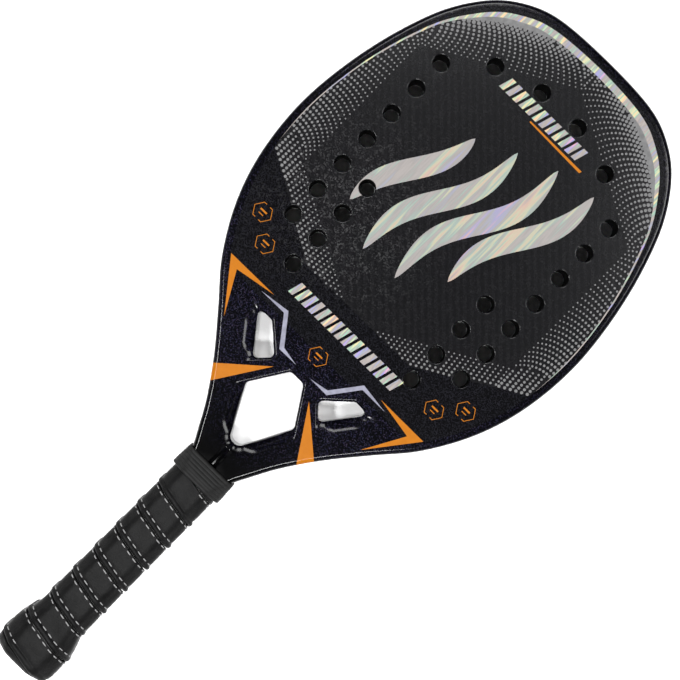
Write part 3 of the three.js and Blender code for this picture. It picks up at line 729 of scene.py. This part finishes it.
# Meshes
class Builder:
    """Collects places in the racket's frame and faces with the name of their material"""

    def __init__(self):
        self.places = []
        self.faces = []
        self.names = []

    def add_places(self, places):
        first = len(self.places)
        self.places += [tuple(place) for place in places]
        return first

    def add_face(self, face, name):
        self.faces.append(tuple(face))
        self.names.append(name)

    def add_plate(self, places, heights, triangles, front_names, back_names):
        """A plate with equal sides and the walls between them; the names turn paint into materials"""
        front = self.add_places((place.x, place.y, height) for place, height in zip(places, heights))
        back = self.add_places((place.x, place.y, -height) for place, height in zip(places, heights))
        for (a, b, c), name in triangles:
            self.add_face((front + a, front + b, front + c), front_names.get(name, name))
            self.add_face((back + a, back + c, back + b), back_names.get(name, name))
        for (a, b), name in boundary_of(triangles):
            self.add_face((front + a, back + a, back + b, front + b), back_names.get(name, name))

    def add_tube(self, rings, name, closed=False):
        """Faces between rings that run clockwise seen from the next one, and caps if it isn't closed"""
        starts = [self.add_places(ring) for ring in rings]
        sides = list(range(len(rings[0])))
        for here, there in zip(starts, starts[1:] + starts[:1] * closed):
            for side, after in with_next(sides):
                self.add_face((here + side, here + after, there + after, there + side), name)
        if not closed:
            self.add_face([starts[0] + side for side in reversed(sides)], name)
            self.add_face([starts[-1] + side for side in sides], name)

    def make(self, name, materials, sharp_angle=SHARP_ANGLE):
        """The piece, without places that no face uses, and with its sharp edges marked"""
        order = renumbered(self.faces)
        places = np.array(self.places)[list(order)] * MM + (0, BUTT_Y, MID_Z)
        mesh = bpy.data.meshes.new(name)
        mesh.from_pydata(places, [], [[order[index] for index in face] for face in self.faces])
        keys = list(materials)
        for key in keys:
            mesh.materials.append(materials[key])
        mesh.polygons.foreach_set("material_index", [keys.index(key) for key in self.names])
        mesh.shade_smooth()
        mesh.set_sharp_from_angle(angle=math.radians(sharp_angle))
        piece = show(name, mesh)
        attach(piece, BODY)
        return piece


def renumbered(groups):
    """New numbers for the indices that the groups hold, in their order"""
    return {index: new for new, index in enumerate(sorted(set().union(*groups)))}


def show(name, data):
    """A new object of the scene"""
    made = bpy.data.objects.new(name, data)
    bpy.context.scene.collection.objects.link(made)
    return made


def weighted_normals(piece):
    modifier = piece.modifiers.new("even_normals", "WEIGHTED_NORMAL")
    modifier.keep_sharp = True
    modifier.weight = NORMAL_WEIGHT


def boundary_of(triangles):
    """Edges that only one triangle has, with that triangle's name"""
    owner = {}
    for (a, b, c), name in triangles:
        owner.update({(a, b): name, (b, c): name, (c, a): name})
    return [(edge, name) for edge, name in owner.items() if edge[::-1] not in owner]


# Frame shell
def make_frame_shell(materials):
    plan = Plan()
    stem = [(STEM_SPAN / 2, STEM_END), (STEM_GAP / 2, STEM_END), (STEM_GAP / 2, STEM_SLOT_TOP)]
    for across, down in quarter_steps():
        ring = plan.add(inset_edge(EDGE_ROUND * across), EDGE_ROUND * down)
        if across == 0:
            plan.area("plate", ring + plan.add(stem + mirrored(stem)))
        else:
            plan.line(ring)
    add_openings(plan)
    add_neck(plan)
    add_paint(plan, front=True)
    plan.shape("open", face_outline())
    places, depths, triangles = plan.cut()
    heights = [half_thickness(place.y) - depth for place, depth in zip(places, depths)]
    front_names = {"plate": "lacquer", "badge": "orange"}
    back_names = {"plate": "lacquer", "badge": "lacquer"}
    builder = Builder()
    builder.add_plate(places, heights, triangles, front_names, back_names)
    piece = builder.make("frame_shell", {key: materials[key] for key in ("lacquer", "orange", "lavender")})
    weighted_normals(piece)
    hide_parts("frame_tube", "throat_bridge", "strut_left", "strut_right", "throat_gusset")


# Face sheets
def face_outline():
    return clipped_above(inset_edge(RIM_WIDTH), on_head(FACE_BOTTOM_SHARE))


def add_holes(plan):
    """Holes with a rounded edge"""
    for x, y in hole_centres():
        for across, down in HOLE_BEVEL_SHARES:
            places = circle(x, y, HOLE_RADIUS + HOLE_BEVEL * across, HOLE_STEPS)
            plan.ring(places, HOLE_BEVEL_DEPTH * down, opens=across == 0)


def make_face(name, side, materials):
    """The sheet on the front for side 1, and on the back for side -1"""
    plan = Plan()
    plan.shape("plate", face_outline())
    band_outer, _, _ = band_insets()
    plan.shape("weave", weave_outline(band_outer))
    add_halftone(plan)
    add_band(plan)
    add_paint(plan, front=side > 0)
    add_holes(plan)
    places, depths, triangles = plan.cut()
    builder = Builder()
    outer = builder.add_places(
        (place.x, place.y, side * (HALF_THICKNESS - depth)) for place, depth in zip(places, depths)
    )
    shown = {"plate": "gloss", "badge": "orange"}
    for triangle, paint in triangles:
        builder.add_face([outer + index for index in triangle[::side]], shown.get(paint, paint))
    add_back_of_face(builder, places, triangles, side, outer)
    piece = builder.make(name, materials)
    weighted_normals(piece)
    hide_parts(f"face_sheet_{'front' if side > 0 else 'back'}")


def add_back_of_face(builder, places, triangles, side, outer):
    """Walls and the hidden inner side, from the drawing's own boundary"""
    edges = [edge for edge, _ in boundary_of(triangles)]
    order = renumbered(edges)
    lines = [(order[a], order[b]) for a, b in edges]
    flat = [places[index] for index in order]
    inner = builder.add_places((place.x, place.y, side * CORE_HALF) for place in flat)
    for a, b in edges:
        wall = (outer + a, inner + order[a], inner + order[b], outer + b)
        builder.add_face(wall[::side], "gloss")
    cut_places, _, cut_triangles, sources, _, _ = geometry.delaunay_2d_cdt(
        flat, lines, [], ALL_TRIANGLES, INNER_TOLERANCE, True
    )
    holes = np.array(hole_centres())
    outline = face_outline()
    for corners in cut_triangles:
        middle = np.mean([cut_places[corner] for corner in corners], axis=0)
        near = np.linalg.norm(holes - middle, axis=1).min()
        if near > HOLE_RADIUS * HOLE_TEST_SHARE and inside(middle, outline):
            face = [inner + sources[corner][0] for corner in corners]
            builder.add_face(face[::-side], "gloss")


# Core
def make_core(material):
    plan = Plan()
    plan.shape("plate", clipped_above(inset_edge(RIM_WIDTH + FIT), on_head(FACE_BOTTOM_SHARE) + FIT))
    for x, y in hole_centres():
        plan.shape("open", circle(x, y, HOLE_RADIUS, HOLE_STEPS))
    places, _, triangles = plan.cut()
    names = {"plate": "foam"}
    builder = Builder()
    builder.add_plate(places, [CORE_HALF] * len(places), triangles, names, names)
    piece = builder.make("foam_core", {"foam": material})
    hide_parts("eva_core")


# Handle: eight-sided section and the run of its surface, as in the frame
def octagon(half_width, half_depth, cut):
    """Ring of the soft-edged, eight-sided section, anticlockwise from the right side's upper corner"""
    right = [(half_width, half_depth - cut), (half_width - cut, half_depth)]
    upper = right + mirrored(right)
    corners = [Vector(corner) for corner in upper + [(-x, -y) for x, y in upper]]
    reach = cut * SOFT_CORNER_SHARE
    points = rounded(corners, lambda index, angle: reach, SECTION_CORNER_STEPS, SECTION_SIDE_STEPS)
    return np.array([place for place, _, _ in points])


def grown_section(growth):
    cut = PALLET_CORNER_CUT + growth * GROWTH_SHARE
    return octagon(PALLET_HALF_WIDTH + growth, PALLET_HALF_DEPTH + growth, cut)


def handle_run():
    """The handle's surface from its folded end up to the collar: growth over the pallets, and height"""
    low = GRIP_STAND + FLARE_ROUND
    high = low + FLARE_STRAIGHT
    top = high + FLARE_RISE
    ease = FLARE_RISE * FLARE_EASE_SHARE
    line = [(FLARE_GROWTH - FLARE_ROUND - GRIP_FOLD, GRIP_STAND)]
    for step in range(FLARE_ROUND_STEPS + 1):
        angle = math.pi / 2 * step / FLARE_ROUND_STEPS
        line.append((
            FLARE_GROWTH - FLARE_ROUND * (1 - math.sin(angle)),
            low - FLARE_ROUND * math.cos(angle),
        ))
    controls = np.array([(FLARE_GROWTH, high), (FLARE_GROWTH, high + ease), (0, top - ease), (0, top)])
    line += [bezier(controls, step / FLARE_STEPS) for step in range(FLARE_STEPS + 1)]
    return np.array([*line, (0, GRIP_TOP)])


RUN = evenly(handle_run(), RUN_STEPS)
RUN_AND_WAY = np.hstack([RUN, unit_rows(np.gradient(RUN, axis=0))])
RUN_LENGTH = lengths_along(RUN)[-1]
RUN_LENGTHS = np.linspace(0, RUN_LENGTH, RUN_STEPS + 1)
COLLAR_START = RUN_LENGTH - (GRIP_TOP - COLLAR_BOTTOM)
TOP_WELT = RUN_LENGTH - (GRIP_TOP - WELT_HEIGHT_ON_RIGHT) - WELT_WIDTH / 2

SECTION = grown_section(0)
SECTION_GROWTH = grown_section(1) - SECTION
SECTION_COUNT = len(SECTION)
section_lengths = np.linalg.norm(SECTION - np.roll(SECTION, 1, axis=0), axis=1)
SECTION_SHARES = (np.cumsum(section_lengths) - section_lengths[0]) / section_lengths.sum()


def on_handle(step, distance, lift):
    """Place at a step round the handle and a distance along the run, lifted off the surface"""
    growth, height, outward, upward = places_along(RUN_AND_WAY, RUN_LENGTHS, distance)
    x, z = SECTION[step % SECTION_COUNT] + SECTION_GROWTH[step % SECTION_COUNT] * (growth + upward * lift)
    return x, height - outward * lift, z


# Grip strip
def strip_low(step):
    """Lower edge of the strip at a step round the handle, as a distance along the run"""
    turn = step // SECTION_COUNT + SECTION_SHARES[step % SECTION_COUNT]
    return TOP_WELT + turn * STRIP_PITCH


def welt_height(low):
    """Height of the welt, which runs out at the handle's end and under the collar"""
    return WELT_HEIGHT * clamped(min((low - GRIP_FOLD) / FLARE_ROUND, (COLLAR_START - low) / WELT_WIDTH - 1))


def strip_lift(low, distance):
    """Height of the strip's outer side over the handle at a distance along the run"""
    from_low, from_high = distance - low, low + STRIP_WIDTH - distance
    lift = GRIP_STAND
    if from_low < WELT_WIDTH:
        lift += welt_height(low) * math.sin(math.pi * max(from_low, 0) / WELT_WIDTH) ** WELT_FULLNESS
    for seam in (from_low - SEAM_FROM_LOW, from_high - SEAM_FROM_HIGH):
        lift -= SEAM_DEPTH * math.exp(-((seam / SEAM_WIDTH) ** 2))
    for edge in (from_low, from_high):
        lift -= rounding_depth(edge, STRIP_EDGE_ROUND)
    return lift + STRIP_CROWN * math.sin(math.pi * clamped(from_low / STRIP_WIDTH))


def strip_steps():
    """Steps round the handle where the strip is wide enough, with its edges there"""
    first = math.floor(-(TOP_WELT + STRIP_WIDTH) / STRIP_PITCH) * SECTION_COUNT
    last = math.ceil((RUN_LENGTH - TOP_WELT) / STRIP_PITCH) * SECTION_COUNT
    for step in range(first, last + 1):
        low = strip_low(step)
        start, stop = max(low, 0), min(low + STRIP_WIDTH, RUN_LENGTH)
        if stop - start >= SHORTEST_STRIP:
            yield step, low, start, stop


def make_grip(material):
    """The grip strip, wound up the handle as one strip"""
    rings = []
    for step, low, start, stop in strip_steps():
        distances = [start + (stop - start) * share for share in STRIP_SHARES]
        outer = [on_handle(step, distance, strip_lift(low, distance)) for distance in distances]
        inner = [on_handle(step, distance, FIT) for distance in (stop, (start + stop) / 2, start)]
        rings.append(outer + inner)
    builder = Builder()
    builder.add_tube(rings, "leather")
    piece = builder.make("grip_strip", {"leather": material}, STRIP_SHARP_ANGLE)
    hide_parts("grip_tape")


# Stitches
def make_stitches(material):
    """Two rows of dashed stitches: above the welt, and along the strip's upper edge"""
    builder = Builder()
    lower_end = TOP_WELT - LOWER_SEAM_SHORT_TURNS * STRIP_PITCH
    for from_low, end in ((SEAM_FROM_LOW, lower_end), (STRIP_WIDTH - SEAM_FROM_HIGH, RUN_LENGTH)):
        line = []
        for step, low, start, stop in strip_steps():
            distance = low + from_low
            in_view = LOWEST_STITCH < distance <= COLLAR_START - HIDDEN_UNDER_COLLAR
            if in_view and low <= end and start + STITCH_MARGIN < distance < stop - STITCH_MARGIN:
                line.append((step, low, distance))
        add_stitch_row(builder, line)
    piece = builder.make("grip_stitches", {"thread": material})


def add_stitch_row(builder, line):
    """Stitches along a line of steps round the handle, which lie on the strip's outer side"""
    places = []
    for step, low, distance in line:
        lift = strip_lift(low, distance)
        places.append([on_handle(step, distance, lift), on_handle(step, distance, lift + 1)])
    centre, lifted = np.array(places).swapaxes(0, 1)
    lengths = lengths_along(centre)
    for start in np.arange(0, lengths[-1] - STITCH_PITCH, STITCH_PITCH):
        wanted = start + np.linspace(0, STITCH_LENGTH, STITCH_RINGS)
        middle, out = places_along(centre, lengths, wanted), places_along(lifted - centre, lengths, wanted)
        add_stitch(builder, middle, out)


def add_stitch(builder, middle, lift):
    """One stitch: a short thread that dips into the leather at both ends"""
    along = unit_rows(np.gradient(middle, axis=0))
    lift = unit_rows(lift - along * (lift * along).sum(1)[:, None])
    side = np.cross(along, lift)
    rings = []
    for index, share in enumerate(np.linspace(-1, 1, STITCH_RINGS)):
        radius = STITCH_RADIUS * math.sqrt(max(1 - share**4, STITCH_TIP_SHARE))
        centre = middle[index] + lift[index] * (STITCH_PROUD - STITCH_RADIUS * share**6)
        ring = circle(0, 0, radius, STITCH_SIDES)
        rings.append([centre + side[index] * x - lift[index] * y for x, y in ring])
    builder.add_tube(rings, "thread")


# Collar band
def collar_ring(height, wall):
    """Section of the collar, which passes from the grip's shape to the neck's"""
    ends = (
        (PALLET_HALF_WIDTH + COLLAR_GROWTH, NECK_WIDTH / 2 + FIT),
        (PALLET_HALF_DEPTH + COLLAR_GROWTH, HALF_THICKNESS + FIT),
        (PALLET_CORNER_CUT + COLLAR_GROWTH * GROWTH_SHARE, COLLAR_TOP_CUT),
    )
    wide, deep, cut = (np.interp(height, (GRIP_TOP, HANDLE_LENGTH), pair) for pair in ends)
    section = octagon(wide + wall, deep + wall, cut + wall * GROWTH_SHARE)
    return [(x, height, z) for x, z in section[::-1]]


def make_collar(material):
    """Ribbed band over the strip's top end"""
    height = HANDLE_LENGTH - COLLAR_BOTTOM
    loops = []
    for share in np.linspace(0, 1, COLLAR_STEPS + 1):
        rib = COLLAR_RIB_HEIGHT * abs(math.sin(math.pi * COLLAR_RIBS * share)) ** COLLAR_RIB_FULLNESS
        ease = rounding_depth(min(share, 1 - share) * height, COLLAR_EDGE_ROUND)
        loops.append((COLLAR_BOTTOM + height * share, COLLAR_WALL + rib - ease))
    loops += [(HANDLE_LENGTH, 0), (GRIP_TOP, 0), (COLLAR_BOTTOM, 0)]
    builder = Builder()
    builder.add_tube([collar_ring(*loop) for loop in loops], "rubber", closed=True)
    piece = builder.make("collar", {"rubber": material}, COLLAR_SHARP_ANGLE)
    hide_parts("collar_band")


# Materials
class Nodes:
    """A material with one Principled shader, and short ways to add nodes to it"""

    def __init__(self, name, roughness, specular=0.5, metallic=0):
        self.material = bpy.data.materials.new(name)
        self.material.use_nodes = True
        self.tree = self.material.node_tree
        self.shader = self.tree.nodes["Principled BSDF"]
        self.feed(self.shader, {"Roughness": roughness, "Specular IOR Level": specular, "Metallic": metallic})
        self.place = self.add("ShaderNodeTexCoord", {})["Object"]

    def feed(self, node, inputs):
        """Gives a node's inputs plain values or the outputs of other nodes"""
        for key, value in inputs.items():
            socket = node.inputs[key]
            if isinstance(value, bpy.types.NodeSocket):
                self.tree.links.new(value, socket)
            else:
                socket.default_value = (*value, 1) if socket.type == "RGBA" else value

    def add(self, kind, inputs, **settings):
        """Outputs of a new node"""
        node = self.tree.nodes.new(kind)
        for key, value in settings.items():
            setattr(node, key, value)
        self.feed(node, inputs)
        return node.outputs

    def noise(self, size_mm, detail=3, place=None, roughness=0.5):
        inputs = {"Vector": place or self.place, "Scale": 1 / (size_mm * MM), "Detail": detail}
        return self.add("ShaderNodeTexNoise", {"Roughness": roughness, **inputs})["Fac"]

    def cells(self, size_mm, output="Color"):
        return self.add("ShaderNodeTexVoronoi", {"Vector": self.place, "Scale": 1 / (size_mm * MM)})[output]

    def shades(self, size_mm):
        """Two shades that change from cell to cell, apart from each other"""
        split = self.add("ShaderNodeSeparateColor", {"Color": self.cells(size_mm)})
        return split["Red"], split["Green"]

    def ramp(self, source, stops):
        node = self.tree.nodes.new("ShaderNodeValToRGB")
        elements = node.color_ramp.elements
        while len(elements) < len(stops):
            elements.new(0.5)
        for element, (position, colour) in zip(elements, stops):
            element.position = position
            element.color = (*np.broadcast_to(colour, 3), 1)
        self.feed(node, {"Fac": source})
        return node.outputs["Color"]

    def span(self, source, start, stop, low=0, high=1, kind="LINEAR"):
        """The source, turned from its own range into another one"""
        inputs = {"Value": source, "From Min": start, "From Max": stop, "To Min": low, "To Max": high}
        return self.add("ShaderNodeMapRange", inputs, interpolation_type=kind)["Result"]

    def mix(self, share, first, second, blend="MIX"):
        inputs = {0: share, 6: first, 7: second}
        return self.add("ShaderNodeMix", inputs, data_type="RGBA", blend_type=blend)[2]

    def times(self, first, second):
        return self.mix(1, first, second, "MULTIPLY")

    def bump(self, height, depth_mm, strength=1, below=None):
        """Relief of the shader, on top of the one below"""
        inputs = {"Height": height, "Distance": depth_mm * MM, "Strength": strength}
        if below is not None:
            inputs["Normal"] = below
        relief = self.add("ShaderNodeBump", inputs)["Normal"]
        self.feed(self.shader, {"Normal": relief})
        return relief

    def finish(self, colour):
        """The material with its colour"""
        self.feed(self.shader, {"Base Color": colour})
        return self.material


def lacquer_material():
    """Near-black lacquer with blue and violet flakes that thin out towards the neck and round the head; the
    darker neck is also painted shade
    """
    nodes = Nodes("flake_lacquer", roughness=0.13, specular=0.1)
    nodes.bump(nodes.noise(size_mm=4.5, detail=2), depth_mm=0.04)
    flake, tint = nodes.shades(size_mm=0.5)
    hues = [(0.0, (0.020, 0.020, 0.030)), (0.5, (0.010, 0.010, 0.028)), (1.0, (0.025, 0.018, 0.031))]
    bright = nodes.ramp(flake, [(0.7, 0.0), (1.0, 1.0)])
    flaked = nodes.mix(bright, (0.0010, 0.0010, 0.0016), nodes.ramp(tint, hues))
    low, high = (BUTT_Y + height * MM for height in FLAKE_HEIGHTS)
    along = nodes.add("ShaderNodeSeparateXYZ", {"Vector": nodes.place})["Y"]
    # Flakes fade out towards the neck, which also paints the neck's shade
    fade = nodes.ramp(nodes.span(along, low, high), FLAKE_STOPS)
    return nodes.finish(nodes.mix(fade, (0.0004, 0.0004, 0.0005), flaked))


def painted_glints(nodes):
    """Glints painted into the rough coat's colour, strongest in a patch of the face that is a painted sheen
    """
    shade, _ = nodes.shades(PAINTED_GLINT_SIZE)
    painted_glint = nodes.ramp(shade, [(0.55, 0.0), (1.0, 1.0)])
    # Painted sheen: the glints are strongest round this middle and fade with distance from it
    x, y = PAINTED_GLINT_CENTRE
    ends = {0: nodes.place, 1: (x * MM, BUTT_Y + y * MM, MID_Z)}
    reach = nodes.add("ShaderNodeVectorMath", ends, operation="DISTANCE")["Value"]
    fade = nodes.span(reach, 0, PAINTED_GLINT_REACH * MM, 1, PAINTED_GLINT_FLOOR, "SMOOTHSTEP")
    patches = nodes.ramp(nodes.noise(size_mm=5), [(0.4, 0.15), (0.6, 1.0)])
    return nodes.times(nodes.times(painted_glint, patches), fade)


def weave_material():
    """Satin charcoal carbon with a faint diagonal twill, a fine rough top coat, and painted glints and sheen
    in its colour
    """
    nodes = Nodes("carbon_weave", roughness=0.18, specular=0.17)
    nodes.bump(nodes.noise(size_mm=0.9), depth_mm=0.01)
    turn = {"Vector": nodes.place, "Rotation": (0, 0, math.radians(TWILL_ANGLE))}
    inputs = {
        "Vector": nodes.add("ShaderNodeMapping", turn)["Vector"],
        "Scale": 2 * math.pi / (TWILL_PITCH * MM * WAVE_NODE_TURN),
        "Distortion": 0.8,
    }
    wave = nodes.add("ShaderNodeTexWave", inputs)["Fac"]
    stripes = nodes.ramp(wave, [(0.2, (0.0021, 0.0021, 0.0026)), (0.8, (0.0034, 0.0034, 0.0040))])
    speckle = nodes.ramp(nodes.noise(size_mm=0.7), [(0.42, 0.75), (0.72, 1.7)])
    # Painted glints and sheen: a light grey mixed into the colour where the glint mask is strong
    return nodes.finish(nodes.mix(painted_glints(nodes), nodes.times(stripes, speckle), (0.036, 0.036, 0.037)))


def gloss_material():
    """Glossy black lower face with the same rough coat and the same painted glints and sheen"""
    nodes = Nodes("gloss_black", roughness=0.15, specular=0.12)
    nodes.bump(nodes.noise(size_mm=1.2), depth_mm=0.012)
    grain, _ = nodes.shades(size_mm=0.5)
    bright = nodes.ramp(grain, [(0.5, 0.0), (1.0, 1.0)])
    black = nodes.mix(bright, (0.0009, 0.0009, 0.0012), (0.0075, 0.0075, 0.010))
    # Painted glints and sheen: a grey mixed into the colour where the glint mask is strong
    return nodes.finish(nodes.mix(painted_glints(nodes), black, (0.018, 0.018, 0.019)))


def holographic_material(name, streak_mm, strength):
    """Silver foil with pastel rainbow streaks across it"""
    nodes = Nodes(name, roughness=0.42, specular=0.2, metallic=0.3)
    nodes.bump(nodes.noise(size_mm=0.8, detail=2), depth_mm=0.015)
    stretched = nodes.add("ShaderNodeMapping", {"Vector": nodes.place, "Scale": (1, 0.06, 1)})["Vector"]
    streak = nodes.noise(streak_mm, place=stretched, roughness=0.7)
    rainbow = [
        (0.30, (0.30, 0.15, 0.17)), (0.35, (0.12, 0.11, 0.27)), (0.39, (0.13, 0.14, 0.18)),
        (0.43, (0.125, 0.108, 0.10)), (0.47, (0.17, 0.15, 0.14)), (0.51, (0.125, 0.112, 0.105)),
        (0.55, (0.11, 0.20, 0.16)), (0.59, (0.27, 0.26, 0.14)), (0.64, (0.32, 0.18, 0.12)),
        (0.69, (0.15, 0.13, 0.125)),
    ]
    return nodes.finish(nodes.mix(strength, (0.135, 0.130, 0.128), nodes.ramp(streak, rainbow)))


def print_material(name, ink):
    """Printed ink, in places a little darker and lighter"""
    nodes = Nodes(name, roughness=0.5, specular=0.2)
    stops = [(0.3, [0.8 * part for part in ink]), (0.7, [1.2 * part for part in ink])]
    return nodes.finish(nodes.ramp(nodes.noise(size_mm=3, detail=2), stops))


def leather_material():
    """Charcoal leather with a fine grain and soft creases"""
    nodes = Nodes("grip_leather", roughness=0.45, specular=0.05)
    creases = nodes.bump(nodes.noise(size_mm=5, detail=5), depth_mm=0.35)
    nodes.bump(nodes.cells(size_mm=0.75, output="Distance"), depth_mm=0.12, strength=0.8, below=creases)
    soft, fine = nodes.noise(size_mm=7, detail=4), nodes.noise(size_mm=0.6)
    base = nodes.ramp(soft, [(0.3, (0.0032, 0.0032, 0.0033)), (0.7, (0.0060, 0.0060, 0.0061))])
    return nodes.finish(nodes.times(base, nodes.ramp(fine, [(0.3, 0.75), (0.7, 1.25)])))


def grained(name):
    """A plain material of the table, whose colour and relief follow two noises"""
    stops, grain, (size_mm, detail, depth_mm), roughness, specular = GRAINED[name]
    nodes = Nodes(name, roughness, specular)
    nodes.bump(nodes.noise(size_mm, detail), depth_mm)
    return nodes.finish(nodes.ramp(nodes.noise(*grain), stops))


def dress_hidden_pieces():
    for name, pieces in HIDDEN_PIECES.items():
        material = grained(name)
        for piece in pieces:
            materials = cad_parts[piece].data.materials
            materials.clear()
            materials.append(material)


# Stage
def make_floor():
    bpy.ops.mesh.primitive_plane_add(size=FLOOR_SIZE)
    floor = bpy.context.object
    floor.name = "floor"
    floor.data.materials.append(Nodes("pale_floor", roughness=0.9, specular=0.1).finish(FLOOR_COLOUR))


def make_lamp(name, turn, tilt, distance, width, height, power):
    lamp = bpy.data.lights.new(name, "AREA")
    lamp.shape = "RECTANGLE"
    lamp.size, lamp.size_y = width, height
    lamp.energy = power
    light = show(name, lamp)
    turn, tilt = math.radians(turn), math.radians(tilt)
    out = Vector((math.sin(tilt) * math.cos(turn), math.sin(tilt) * math.sin(turn), math.cos(tilt)))
    light.location = out * distance
    light.rotation_euler = out.to_track_quat("Z", "Y").to_euler()


def make_lights():
    world = bpy.data.worlds.new("studio")
    world.use_nodes = True
    background = world.node_tree.nodes["Background"]
    background.inputs["Color"].default_value = (1, 1, 1, 1)
    background.inputs["Strength"].default_value = WORLD_LEVEL
    bpy.context.scene.world = world
    for name, (turn, *values) in LAMPS.items():
        make_lamp(f"right_{name}", turn, *values)
        make_lamp(f"left_{name}", 180 - turn, *values)


def make_camera():
    camera = bpy.data.cameras.new("camera")
    camera.sensor_width = SENSOR_WIDTH
    camera.lens = SENSOR_WIDTH * CAMERA_DISTANCE / VIEW_WIDTH
    holder = show("camera", camera)
    holder.location = (*VIEW_CENTRE, MID_Z + CAMERA_DISTANCE)
    holder.rotation_euler = (0, 0, math.radians(VIEW_TURN))
    bpy.context.scene.camera = holder


def main():
    bpy.context.scene.view_settings.view_transform = "Standard"
    make_camera()
    make_lights()
    make_floor()
    paint = {
        "gloss": gloss_material(),
        "weave": weave_material(),
        "holographic": holographic_material("holographic_foil", streak_mm=3.4, strength=1),
        "foil": holographic_material("holographic_print", streak_mm=7, strength=0.45),
        "silver": print_material("silver_print", (0.080, 0.080, 0.081)),
        "lavender": print_material("lavender_print", (0.130, 0.130, 0.170)),
        "orange": grained("orange_paint"),
    }
    make_frame_shell({"lacquer": lacquer_material(), **paint})
    make_face("face_front", 1, paint)
    make_face("face_back", -1, paint)
    make_core(grained("black_foam"))
    make_grip(leather_material())
    make_stitches(grained("grey_thread"))
    make_collar(grained("collar_rubber"))
    dress_hidden_pieces()


main()
